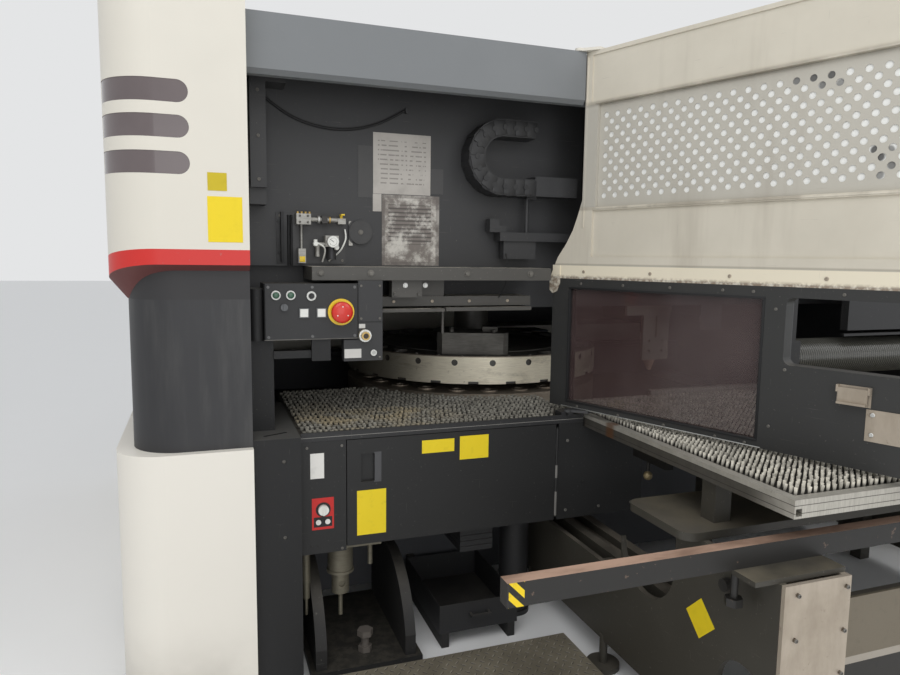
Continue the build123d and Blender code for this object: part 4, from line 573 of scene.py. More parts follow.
def sheets_and_plates(look):
    """Papers and tape on the throat wall and small plain plates on the covers, told apart by place."""
    inside, mix = look.inside, look.mix
    cloud = look.noise(9.0, 5.0, 0.65)
    crease = look.noise(5.0, 6.0, 0.7)
    lines = look.noise(60.0, 2.0, 0.5, (1, 1, 0.15)) > 0.47
    smudge = look.noise(13.0, 5.0, 0.72)
    scuff = look.noise(30.0, 3.0).ramp(0.5, 0.8) * 0.25

    def rows(pitch, share):
        return ((look.z * pitch) % 1.0) < share

    paper = mix(cloud.ramp(0.4, 0.8) * 0.6, (186, 181, 174), (150, 144, 138))
    line = rows(58.0, 0.30) * lines
    paper = mix(line * inside(x=(-1.196, -1.008), z=(1.775, 1.935)) * 0.5, paper, (80, 74, 72))
    worn = mix(smudge.ramp(0.36, 0.56), (202, 198, 190), (120, 113, 107))
    table = rows(66.0, 0.42) * inside(x=(-1.155, -0.985), z=(1.55, 1.70))
    worn = mix(table * smudge.ramp(0.34, 0.5) * 0.7, worn, (62, 58, 56))
    worn = mix((1.0 - inside(x=(-1.168, -0.966), z=(1.484, 1.724))) * 0.5, worn, (92, 86, 82))
    paper = mix(inside(x=(-1.1805, -0.951), z=(1.46, 1.7365)), paper, worn)
    tape = (inside(x=(-1.28, -1.2149)) + inside(x=(-0.9885, -0.93), z=(1.744, 1.85))).clamped()
    film = mix(cloud, (58, 58, 59), (78, 77, 76))
    white = mix(scuff, (228, 226, 220), (180, 178, 172))
    lug = look.round_spot(-1.468, 0.584, 0.0095) + look.round_spot(-1.436, 0.584, 0.0095)

    look.tone = mix(scuff, YELLOW, shade(YELLOW, 0.7))
    look.patch(mix(scuff, (200, 178, 22), (160, 140, 24)), x=(-1.81, -1.74), z=(1.69, 1.755))
    look.patch(mix(0.25, white, film), x=(-1.37, -1.28), z=(1.10, 1.30))
    look.patch(white, x=(-1.5, -1.4), z=(0.73, 0.84))
    red = mix(scuff, (198, 40, 36), (140, 30, 28))
    look.patch(mix(look.round_spot(-1.451, 0.628, 0.026), red, (30, 30, 31)), x=(-1.5, -1.4), z=(0.5, 0.68))
    look.patch((32, 32, 33), x=(-1.484, -1.420), z=(0.566, 0.602))
    look.lay(lug.clamped() * (look.y < -0.8565), white)
    look.lay(look.y > -0.70, mix(tape, paper, film))
    return look.finish(0.5 + 0.15 * cloud, bump=crease, strength=0.3, distance=0.002)


def bristle(look, root, tip, low, high, patches=()):
    """Bristles that are dark at the root and paler at the tip, in slightly different tones."""
    each = look.noise(30.0, 2.0)
    cloud = look.noise(7.0, 4.0, 0.6)
    strand = look.noise(240.0, 2.0, 0.5, (1, 1, 0.1))
    rise = look.z.ramp(low, high)
    look.base(rise, root, tip)
    look.lay(each.ramp(0.35, 0.7) * 0.5, root)
    for centre, reach, colour, strength in patches:
        across, deep = look.x - centre[0], look.y - centre[1]
        away = across * across * (1 / reach[0] ** 2) + deep * deep * (1 / reach[1] ** 2)
        look.lay((1.0 - away.ramp(0.35, 1.0)) * cloud.ramp(0.34, 0.6) * rise * strength, colour)
    return look.finish(0.62 + 0.15 * each, bump=strand, strength=0.4, distance=0.002)


def tinted_window(look):
    """Tinted acrylic sheet with faint scratches and smears."""
    smear = look.noise(3.0, 5.0, 0.6)
    smears = smear.ramp(0.4, 0.7)
    look.base(smears * 0.5, (78, 62, 61), (104, 90, 88))
    look.lay(look.scratches(0.15) * 0.2, (150, 144, 142))
    return look.finish(0.1 + 0.1 * smears, alpha=0.47 + 0.14 * smear)


def striped_bar_paint(look):
    """Black bar with a rubbed copper top and black and yellow tape round its end."""
    cloud = look.noise(6.0, 5.0, 0.65, (0.4, 1, 1))
    fine = look.noise(50.0, 4.0)
    facing = look.facing_up()
    look.base(cloud, (24, 23, 22), (42, 40, 37))
    look.lay(look.noise(30.0, 4.0, 0.7).ramp(0.64, 0.7) * 0.5, (134, 110, 94))
    rubbed = look.mix(cloud.ramp(0.35, 0.65), (188, 156, 136), (132, 106, 90))
    look.lay((facing > 0.7) * (look.z > 0.75), rubbed)
    stripe = (((look.x + look.z) * 26.0) % 1.0) > 0.5
    tape = look.mix(stripe, (238, 206, 16), (26, 24, 22))
    tape = look.mix(fine.ramp(0.55, 0.75) * 0.4, tape, (110, 98, 70))
    look.lay(look.x.between(-1.186, -1.146) * (facing < 0.9), tape)
    return look.finish(0.4 + 0.2 * cloud, bump=fine, strength=0.12)


def tread_steel(look):
    """Dark rolled plate, dusty between its lozenges and rubbed brighter by feet."""
    cloud = look.noise(4.0, 5.0, 0.65)
    fine = look.noise(90.0, 4.0)
    look.base(cloud.ramp(0.35, 0.7), (124, 117, 102), (152, 144, 126))
    look.lay((look.z > 0.0508) * cloud.ramp(0.3, 0.6), (166, 159, 144))
    look.lay(look.facing_up() < 0.5, (52, 49, 46))
    return look.finish(0.42 + 0.2 * cloud, metallic=0.25, bump=fine, strength=0.2)


def ribbed_hose(look):
    """Dark glossy hose, with painted shade in its grooves."""
    away = look.length(look.y - HOSE_MIDDLE[0], look.z - HOSE_MIDDLE[1])
    cloud = look.noise(5.0, 4.0)
    # Painted shade: darker where the surface lies close to the axis, in the grooves
    look.base(away.ramp(0.0800, 0.0846), (40, 40, 37), (100, 99, 92))
    look.lay(cloud.ramp(0.4, 0.8) * 0.3, (60, 58, 52))
    return look.finish(0.24 + 0.1 * cloud, bump=cloud, strength=0.05, coat=0.3)


def gauge_dial(look):
    """A white dial with tick marks round its edge."""
    x, z = look.x - GAUGE[0], look.z - GAUGE[1]
    turn = look.math("ARCTAN2", z, x) * (24 / (2 * math.pi))
    tick = (((turn + 24.0) % 1.0) < 0.3) * look.length(x, z).between(0.0120, 0.0150)
    cloud = look.noise(40.0, 2.0)
    look.base(cloud * 0.2, (236, 236, 230), (200, 200, 194))
    look.lay(tick, (40, 40, 40))
    return look.finish(0.2 + 0.1 * cloud, bump=cloud, strength=0.03)


MAIN_PATCHES = (
    ((-1.22, -0.70), (0.36, 0.22), (196, 180, 146), 0.9),
    ((-1.42, -0.60), (0.14, 0.30), (176, 162, 134), 0.6),
    ((-0.82, -0.40), (0.12, 0.08), (196, 194, 186), 0.7),
    ((-0.85, -0.78), (0.40, 0.10), (160, 154, 142), 0.6),
)

# Each finish: the CAD nodes that carry it, the function that makes it and the values that it is given
RECIPES = {
    "column cream": ("column_top_cover", column_cream),
    "outer cover bands": ("outer_covers", cover_bands),
    "column base cream": ("column_base_cover", base_cream),
    "column grey": ("column_mid_cover", streaked_grey),
    "smoked lamp strip": ("column_lamps", smoked_strip),
    "beam grey": ("front_beam", sprayed_paint, (118, 121, 123), 0.2),
    "door cream": ("rear_cabinets", sprayed_paint, (218, 213, 201), 0.15),
    "throat charcoal": ("upper_frame right_front_cover throat_wall cable_post sensor_arm",
                        dusty_paint, (50, 50, 51), 0.35, 0.42),
    "cover black": ("scrap_box", dusty_paint, (35, 35, 36), 0.3, 0.44),
    "box black": ("control_box", dusty_paint, (40, 40, 41), 0.3, 0.44),
    "door frame black": ("door_lower_frame", dusty_paint, (46, 46, 45), 0.35, 0.40),
    "frame grey": ("base_frame carriage_beam cross_slide", dusty_paint, (70, 71, 74), 0.3, 0.5),
    "cast iron": ("press_drives", dusty_paint, (52, 52, 54), 0.2, 0.6),
    "skirt black": ("front_skirt skirt_door", dusty_paint, (24, 24, 24), 0.2, 0.42, skirt_places),
    "plinth black": ("side_plinth", dusty_paint, (17, 17, 18), 0.25, 0.5, plinth_places),
    "table black": ("main_table", dusty_paint, (35, 35, 36), 0.3, 0.44, table_places),
    "ledge black": ("throat_ledges", dusty_paint, (76, 74, 70), 0.4, 0.42, ledge_places),
    "base black": ("table_base", dusty_paint, (60, 57, 50), 0.4, 0.45, base_places),
    "bracket black": ("foot_bracket", dusty_paint, (30, 29, 28), 0.5, 0.55, bracket_places),
    "fitting black": ("fitting_panel", dusty_paint, (48, 48, 49), 0.3, 0.42, fitting_places),
    "control trim": ("control_box_trim", dusty_paint, (206, 206, 202), 0.1, 0.22, trim_places),
    "sheets and plates": ("sheets_and_plates", sheets_and_plates),
    "air unit": ("air_unit", wall_air_parts),
    "side table aluminium": ("side_table", table_aluminium),
    "machined aluminium": ("laser_carriage", brushed_metal, (188, 185, 176), (126, 122, 114), 0.36, 14, 0.4),
    "head aluminium": ("laser_head", brushed_metal, (240, 210, 188), (176, 138, 116), 0.4, 8, 0.4, 0.2),
    "oiled aluminium": ("air_cylinders", brushed_metal, (128, 123, 108), (84, 80, 68), 0.32, 10, 0.5, 0.5),
    "bright metal": ("", brushed_metal, (216, 216, 212), (150, 150, 148), 0.22, 4, 0.1),
    "brass": ("", brushed_metal, (206, 176, 112), (140, 114, 66), 0.28, 6, 0.3),
    "turret steel": ("turret_lower striker clamp_jaws",
                     brushed_metal, (176, 164, 148), (96, 84, 72), 0.34, 26, 0.5),
    "oiled steel": ("turret_tool_block", brushed_metal, (120, 117, 111), (72, 70, 66), 0.4, 10, 0.5, 0.4),
    "plate steel": ("front_post_plate door_fittings door_latch_paddle",
                    brushed_metal, (186, 174, 158), (138, 126, 110), 0.4, 0.3, 0.4, 0.45),
    "turret rim steel": ("turret_upper", turret_rim),
    "black rubber": ("wall_lead", moulded_plastic, (26, 26, 27), 0.6),
    "yellow plastic": ("air_valve_handle", moulded_plastic, (240, 204, 24), 0.3, 0.2),
    "red plastic": ("emergency_stop_button", moulded_plastic, (214, 44, 30), 0.28, 0.3),
    "white plastic": ("start_button hold_button mode_knob", moulded_plastic, (228, 228, 222), 0.35, 0.2),
    "black plastic": ("cable_chain key_switch", moulded_plastic, (42, 42, 43), 0.4),
    "grey plastic": ("selector_knob", moulded_plastic, (96, 98, 100)),
    "lamp green": ("", moulded_plastic, (40, 84, 60), 0.2, 0.4),
    "black bristle": ("main_brushes", bristle, (46, 45, 43), (178, 174, 162), 0.885, 0.903, MAIN_PATCHES),
    "pale bristle": ("side_brushes", bristle, (46, 43, 39), (248, 242, 226), 0.888, 0.908),
    "door beige": ("door_panel", worn_door_beige),
    "door lining": ("door_lining", spotted_lining),
    "tinted window": ("door_window", tinted_window),
    "outer skin": ("door_outer_skin", outer_skin),
    "striped bar paint": ("striped_bar", striped_bar_paint),
    "tread plate steel": ("tread_plate", tread_steel),
    "hose grey": ("extraction_hose", ribbed_hose),
    "gauge dial": ("", gauge_dial),
}

FINISHES = {}


def finish_named(key):
    """Makes a finish the first time that it is asked for."""
    if key not in FINISHES:
        _, recipe, *values = RECIPES[key]
        FINISHES[key] = recipe(Shader(key), *values)
    return FINISHES[key]


FRONT = (0, -1, 0)
UP = (0, 0, 1)


def size_prop(name, value, least, description):
    """A property that holds a size of the machine."""
    return FloatProperty(name=name, description=description, default=value, min=least, unit="LENGTH")


def colour_prop(name, value, description):
    """A property that holds a colour of the stage."""
    return FloatVectorProperty(name=name, description=description, subtype="COLOR", size=4, min=0.0, max=1.0,
                               default=srgb(*value))


def steps(place, stop, pitch):
    """Places a pitch apart, from the first up to the stop."""
    while place < stop:
        yield place
        place += pitch


class MachineSizes(bpy.types.PropertyGroup):
    """Sizes of the pieces that this add-on models."""

    main_pitch: size_prop("Main tuft pitch", 0.030, 0.01, "Distance between rows of the main table's tufts")
    side_pitch: size_prop("Side tuft pitch", 0.022, 0.01, "Distance between rows of the side table's tufts")
    main_tuft: size_prop("Main tuft width", 0.013, 0.002, "Width of a tuft of the main table")
    side_tuft: size_prop("Side tuft width", 0.0092, 0.002, "Width of a tuft of the side table")
    hole_radius: size_prop("Hole radius", 0.0105, 0.002, "Radius of the round holes in the door")
    hose_pitch: size_prop("Hose pitch", 0.0125, 0.004, "Distance between the hose's ribs")
    lozenge_pitch: size_prop("Tread pitch", 0.036, 0.01, "Distance between the tread plate's lozenges")
    link_pitch: size_prop("Chain pitch", 0.043, 0.01, "Length of one link of the energy chain")
    seed: IntProperty(name="Seed", description="Seed for the small differences between tufts", default=7)


class MachineColours(bpy.types.PropertyGroup):
    """Colours of the stage."""

    floor: colour_prop("Floor", (247, 247, 246), "Colour of the studio floor")
    backdrop: colour_prop("Backdrop", (228, 229, 230), "Colour behind the machine")


def block(x_span, y_span, z_span, bevel):
    """A block between limits along the three axes, with rounded edges."""
    form = bmesh.new()
    spans = (x_span, y_span, z_span)
    middle = [(low + high) / 2 for low, high in spans]
    size = [abs(high - low) for low, high in spans]
    bmesh.ops.create_cube(form, size=1.0, matrix=Matrix.Translation(middle) @ Matrix.Diagonal((*size, 1.0)))
    bmesh.ops.bevel(form, geom=form.edges[:], offset=bevel, segments=2, profile=0.5, affect="EDGES",
                    material=-1)
    return form


def turned(profile, segments=24):
    """A round form: an outline of (radius, height) pairs turned round Z."""
    form = bmesh.new()
    verts = [form.verts.new((radius, 0.0, height)) for radius, height in profile]
    edges = [form.edges.new(pair) for pair in zip(verts, verts[1:])]
    bmesh.ops.spin(form, geom=verts + edges, cent=(0, 0, 0), axis=(0, 0, 1), dvec=(0, 0, 0),
                   angle=2 * math.pi, space=Matrix.Identity(4), steps=segments, use_merge=True)
    bmesh.ops.remove_doubles(form, verts=form.verts[:], dist=1e-6)
    return form


def disc(radius, height, bevel, segments=24):
    """A solid round form that stands on Z = 0."""
    return turned(((0, 0), (radius, 0), (radius, height - bevel), (radius - bevel, height),
                   (0, height)), segments)


def ring(outer, inner, height, bevel=0.0006, segments=28):
    """A round form with a hole through it."""
    return turned(((inner, 0), (outer, 0), (outer, height - bevel), (outer - bevel, height),
                   (inner + bevel, height), (inner, height - bevel), (inner, 0)), segments)


def dome(radius, height, base, segments):
    """A mushroom head: a short rim under a domed top."""
    outline = [(0, 0), (radius - 0.002, 0), (radius, 0.002), (radius, base)]
    for step in range(1, 8):
        angle = step / 8 * math.pi / 2
        outline.append((radius * math.cos(angle), base + (height - base) * math.sin(angle)))
    return turned(outline + [(0, height)], segments)


def towards(point, direction):
    """Moves a form built round Z to a point, with its Z along a direction."""
    return Matrix.Translation(point) @ Vector(direction).to_track_quat("Z", "Y").to_matrix().to_4x4()


def pointing_front(x, y, z):
    return towards((x, y, z), FRONT)


class Shape:
    """One piece in the making: closed forms, each with a finish of its own."""

    def __init__(self):
        self.bm = bmesh.new()
        self.finishes = []

    def take(self, form, finish, matrix=None):
        """Adds a finished form to the piece."""
        if finish not in self.finishes:
            self.finishes.append(finish)
        if matrix is not None:
            bmesh.ops.transform(form, matrix=matrix, verts=form.verts[:])
        bmesh.ops.recalc_face_normals(form, faces=form.faces[:])
        for face in form.faces:
            face.material_index = self.finishes.index(finish)
            face.smooth = True
        held = bpy.data.meshes.new("form")
        form.to_mesh(held)
        form.free()
        self.bm.from_mesh(held)
        bpy.data.meshes.remove(held)

    def bolt(self, point, direction, radius, height, finish):
        """A six-sided bolt head on a washer."""
        self.take(disc(radius * 1.35, height * 0.3, 0.0004, 20), finish, towards(point, direction))
        start = Vector(point) + Vector(direction) * height * 0.3
        self.take(disc(radius, height * 0.7, 0.0006, 6), finish, towards(start, direction))

    def screw(self, point, direction, radius, height, finish):
        """A round screw head with a socket in it."""
        socket, floor = radius * 0.45, height * 0.35
        outline = ((0, 0), (radius, 0), (radius, height * 0.7), (radius * 0.8, height),
                   (socket, height), (socket, floor), (0, floor))
        self.take(turned(outline, 16), finish, towards(point, direction))

    def door_screws(self, spots, d, radius, height, finish):
        """Screws on the door's inner side, at places along the leaf and heights."""
        for t, z in spots:
            self.screw(DOOR_PLACE @ Vector((t, d, z)), -OUT, radius, height, finish)

    def finished(self, name, body, nodes=(), angle=35.0):
        """Turns the forms into one object that rides on a body and may stand for CAD nodes."""
        mesh = bpy.data.meshes.new(name)
        self.bm.to_mesh(mesh)
        self.bm.free()
        for finish in self.finishes:
            mesh.materials.append(finish_named(finish))
        mesh.set_sharp_from_angle(angle=math.radians(angle))
        piece = bpy.data.objects.new(name, mesh)
        bpy.context.scene.collection.objects.link(piece)
        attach(piece, body)
        if nodes:
            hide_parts(*nodes)


def wire(name, routes, radius, finish):
    """A round lead or tube along smooth curves."""
    curve = bpy.data.curves.new(name, "CURVE")
    curve.dimensions = "3D"
    curve.bevel_depth = radius
    curve.bevel_resolution = 3
    curve.resolution_u = 8
    curve.use_fill_caps = True
    for route in routes:
        spline = curve.splines.new("NURBS")
        spline.points.add(len(route) - 1)
        for point, place in zip(spline.points, route):
            point.co = (*place, 1.0)
        spline.order_u = 3
        spline.use_endpoint_u = True
    curve.materials.append(finish_named(finish))
    piece = bpy.data.objects.new(name, curve)
    bpy.context.scene.collection.objects.link(piece)
    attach(piece, "machine")
    return piece


def route_length(points):
    return sum((Vector(b) - Vector(a)).length for a, b in zip(points, points[1:]))


def add_tuft(bm, foot, height, width, lean, turn):
    """A bundle of bristles: a five-sided tapered block that spreads and leans towards its tip."""
    place = Matrix.Translation(foot + Vector((0, 0, height / 2))) @ Matrix.Rotation(turn, 4, "Z")
    made = bmesh.ops.create_cone(bm, cap_ends=True, segments=5, radius1=width * 0.36, radius2=width * 0.55,
                                 depth=height, matrix=place)
    top = [vert for vert in made["verts"] if vert.co.z > foot.z + height / 2]
    bmesh.ops.translate(bm, verts=top, vec=lean)


class MACHINE_OT_wall_leads(bpy.types.Operator):
    """Models the lead that hangs on the throat wall and the sensor's thin lead"""

    bl_idname = "machine.wall_leads"
    bl_label = "Leads"

    def execute(self, context):
        lead = wire("wall_lead_cable", [WALL_LEAD], 0.005, "black rubber")
        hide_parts("wall_lead")
        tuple(WALL_LEAD[0])
        route_length(WALL_LEAD)
        thin = wire("sensor_lead", [SENSOR_LEAD], 0.002, "black rubber")
        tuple(SENSOR_LEAD[0])
        route_length(SENSOR_LEAD) * 0.985
        return {"FINISHED"}


class MACHINE_OT_finishes(bpy.types.Operator):
    """Gives every carried-over part of the machine its finish"""

    bl_idname = "machine.finishes"
    bl_label = "Finishes"

    def execute(self, context):
        for key, recipe in RECIPES.items():
            for node in recipe[0].split():
                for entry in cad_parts[node].material_slots:
                    entry.material = finish_named(key)
        return {"FINISHED"}


class MACHINE_OT_main_tufts(bpy.types.Operator):
    """Models the tufts of the main brush table"""

    bl_idname = "machine.main_tufts"
    bl_label = "Main table tufts"

    def execute(self, context):
        size = context.scene.machine_sizes
        dice = random.Random(size.seed)
        low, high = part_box("main_brushes")
        shape = Shape()
        for row in range(int((high[1] - low[1]) / size.main_pitch) + 1):
            bm = bmesh.new()
            y = low[1] + 0.005 + row * size.main_pitch
            first = low[0] + 0.006 + (row % 2) * size.main_pitch / 2
            for x in steps(first, high[0] - 0.006, size.main_pitch * 0.62):
                clear = (Vector((x, y)) - TURRET).length > 0.687
                post = abs(x - PIVOT.x) < 0.048 and y < -0.775
                if clear and not post:
                    lean = Vector((dice.uniform(-0.003, 0.003), dice.uniform(-0.004, 0.002), 0))
                    height = high[2] - low[2] - dice.uniform(0.0, 0.004)
                    add_tuft(bm, Vector((x, y, low[2])), height, size.main_tuft, lean, dice.uniform(0, 6))
            shape.take(bm, "black bristle")
        shape.finished("main_tufts", "machine", ["main_brushes"])
        return {"FINISHED"}


class MACHINE_OT_side_tufts(bpy.types.Operator):
    """Models the tufts of the side brush table"""

    bl_idname = "machine.side_tufts"
    bl_label = "Side table tufts"

    def execute(self, context):
        size = context.scene.machine_sizes
        dice = random.Random(size.seed + 1)
        low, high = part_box("side_brushes")
        shape = Shape()
        for x in steps(low[0] + 0.006, high[0] - 0.006, size.side_pitch):
            bm = bmesh.new()
            for y in steps(low[1] + 0.006, high[1] - 0.006, size.side_pitch * 0.9):
                lean = Vector((dice.uniform(0.0, 0.006), dice.uniform(-0.002, 0.002), 0))
                height = high[2] - low[2] - dice.uniform(0.004, 0.008)
                add_tuft(bm, Vector((x, y, low[2])), height, size.side_tuft, lean, 0.3)
            shape.take(bm, "pale bristle")
        shape.finished("side_tufts", "machine", ["side_brushes"])
        return {"FINISHED"}


class MACHINE_OT_door_details(bpy.types.Operator):
    """Models the round-holed skin of the front door, the window's bead, edge angles and screws"""

    bl_idname = "machine.door_details"
    bl_label = "Door details"

    def execute(self, context):
        shape = Shape()
        shape.take(self.skin(context.scene.machine_sizes.hole_radius), "door beige", DOOR_PLACE)
        shape.finished("door_perforated_skin", "front_door")

        inner = DOOR_INNER
        bead = Shape()
        for t_span, z_span in (((-0.038, 0.728), (1.388, 1.396)), ((-0.038, 0.728), (0.945, 0.953)),
                               ((-0.038, -0.030), (0.953, 1.388)), ((0.720, 0.728), (0.953, 1.388))):
            form = block(t_span, (inner - 0.0025, inner + 0.010), z_span, 0.0008)
            bead.take(form, "black rubber", DOOR_PLACE)
        spots = [(t, z) for t in (0.020, 0.210, 0.400, 0.590, 0.690) for z in (1.410, 0.934)]
        spots += [(0.762, 1.36), (0.762, 1.00), (1.155, 1.36), (1.155, 0.97), (0.95, 1.412), (0.80, 1.18)]
        bead.door_screws(spots, inner, 0.005, 0.003, "oiled steel")
        spots = [(t, z) for t in (1.046, 1.140) for z in (1.086, 1.030)]
        bead.door_screws(spots, inner - 0.003, 0.0062, 0.0035, "bright metal")
        strip = block((-0.060, 0.740), (inner - 0.002, inner + 0.003), (0.9258, 0.9292), 0.0006)
        bead.take(strip, "bright metal", DOOR_PLACE)
        bead.finished("door_window_bead", "front_door")

        edges = Shape()
        for t_span, rise, z_span in (((0.060, 1.158), 0.003, (2.0665, 2.0715)),
                                     ((0.060, 1.158), 0.002, (1.6865, 1.6915)),
                                     ((0.016, 0.022), 0.003, (1.62, 2.24))):
            form = block(t_span, (inner - rise, inner + 0.001), z_span, 0.0008)
            edges.take(form, "door beige", DOOR_PLACE)
        spots = [(t, 1.455) for t in (0.03, 0.32, 0.61, 0.90, 1.15)]
        edges.door_screws(spots, inner, 0.006, 0.003, "plate steel")
        edges.finished("door_edge_angles", "front_door")
        return {"FINISHED"}

    def skin(self, radius):
        """The thin sheet with its staggered rows of round holes, in the door's own directions."""
        skin = bmesh.new()
        (near, far), (low, high) = SKIN_SPAN, SKIN_HEIGHTS
        corners = [skin.verts.new((t, SKIN_INNER, z))
                   for t, z in ((near, low), (far, low), (far, high), (near, high))]
        for pair in zip(corners, corners[1:] + corners[:1]):
            skin.edges.new(pair)
        for row in range(2 * HOLE_ROWS - 1):
            stagger = row % 2
            z = HOLE_MIDDLE + (row - HOLE_ROWS + 1) * HOLE_PITCH / 2
            for column in range(HOLE_COLUMNS - stagger):
                t = FIRST_HOLE + HOLE_PITCH * (column + stagger / 2)
                place = Matrix.Translation((t, SKIN_INNER, z)) @ Matrix.Rotation(math.pi / 2, 4, "X")
                bmesh.ops.create_circle(skin, cap_ends=False, radius=radius, segments=16, matrix=place)
        bmesh.ops.triangle_fill(skin, use_beauty=True, edges=skin.edges[:], normal=FRONT)
        bmesh.ops.recalc_face_normals(skin, faces=skin.faces[:])
        made = bmesh.ops.extrude_face_region(skin, geom=skin.faces[:])
        back = [item for item in made["geom"] if isinstance(item, bmesh.types.BMVert)]
        bmesh.ops.translate(skin, verts=back, vec=(0, 0.00095, 0))
        return skin


class MACHINE_OT_extraction_hose(bpy.types.Operator):
    """Models the ribbed extraction hose"""

    bl_idname = "machine.extraction_hose"
    bl_label = "Extraction hose"

    def execute(self, context):
        low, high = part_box("extraction_hose")
        crest = (high[1] - low[1]) / 2
        root = crest - 0.0065
        bore = root - 0.004
        length = high[0] - low[0]
        ribs = int(length / context.scene.machine_sizes.hose_pitch)
        step = length / ribs
        outline = [(bore, 0.0)]
        for rib in range(ribs):
            for radius, share in ((root, 0.02), (crest - 0.0012, 0.28), (crest, 0.45), (crest - 0.0012, 0.62),
                                  (root, 0.88)):
                outline.append((radius, (rib + share) * step))
        outline += [(root, length), (bore, length), (bore, 0.0)]
        shape = Shape()
        start = (low[0], (low[1] + high[1]) / 2, (low[2] + high[2]) / 2)
        shape.take(turned(outline, 40), "hose grey", towards(start, (1, 0, 0)))
        shape.finished("hose_ribs", "machine", ["extraction_hose"], 60.0)
        return {"FINISHED"}


class MACHINE_OT_chain_links(bpy.types.Operator):
    """Models the side plates, pins and bars of the energy chain"""

    bl_idname = "machine.chain_links"
    bl_label = "Energy chain links"

    def execute(self, context):
        bend = math.pi * CHAIN_RADIUS
        whole = 2 * CHAIN_STRAIGHT + bend
        count = round(whole / context.scene.machine_sizes.link_pitch)
        step = whole / count
        shape = Shape()
        for link in range(count):
            along = (link + 0.5) * step
            past = along - CHAIN_STRAIGHT
            turn = min(max(past / CHAIN_RADIUS, 0.0), math.pi)
            over = -past if past < 0 else max(past - bend, 0.0)
            place = CHAIN_MIDDLE + Vector((over - CHAIN_RADIUS * math.sin(turn), CHAIN_FACE,
                                           CHAIN_RADIUS * math.cos(turn)))
            proud = 0.0045 if link % 2 else 0.0025
            matrix = Matrix.Translation(place) @ Matrix.Rotation(-turn, 4, "Y")
            half = step * 0.56
            plate = block((-half, half), (-proud, 0.002), (-0.0275, 0.0275), 0.0009)
            shape.take(plate, "black plastic", matrix)
            pin = pointing_front(half * 0.8, -proud, 0)
            shape.take(disc(0.010, 0.0025, 0.0005, 18), "black plastic", matrix @ pin)
            bar = block((-step * 0.26, step * 0.26), (0.002, 0.088), (0.0318, 0.0345), 0.0008)
            shape.take(bar, "black plastic", matrix)
        shape.finished("chain_link_plates", "machine")
        return {"FINISHED"}


class MACHINE_OT_tread_lozenges(bpy.types.Operator):
    """Models the raised lozenges of the tread plate"""

    bl_idname = "machine.tread_lozenges"
    bl_label = "Tread plate lozenges"

    def execute(self, context):
        low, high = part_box("tread_plate")
        pitch = context.scene.machine_sizes.lozenge_pitch
        narrow = Matrix.Diagonal((1.0, 0.34, 1.0, 1.0))
        shape = Shape()
        for row, y in enumerate(steps(low[1] + pitch / 2, high[1] - 0.012, pitch * 0.62)):
            bm = bmesh.new()
            turn = Matrix.Rotation(math.radians(45 if row % 2 else -45), 4, "Z")
            first = low[0] + pitch / 2 + (row % 2) * pitch / 2
            for x in steps(first, high[0] - 0.014, pitch):
                place = Matrix.Translation((x, y, high[2] + 0.0008)) @ turn @ narrow
                bmesh.ops.create_cone(bm, cap_ends=True, segments=6, radius1=0.0125, radius2=0.0095,
                                      depth=0.0018, matrix=place)
            shape.take(bm, "tread plate steel")
        shape.finished("tread_plate_lozenges", "machine")
        return {"FINISHED"}


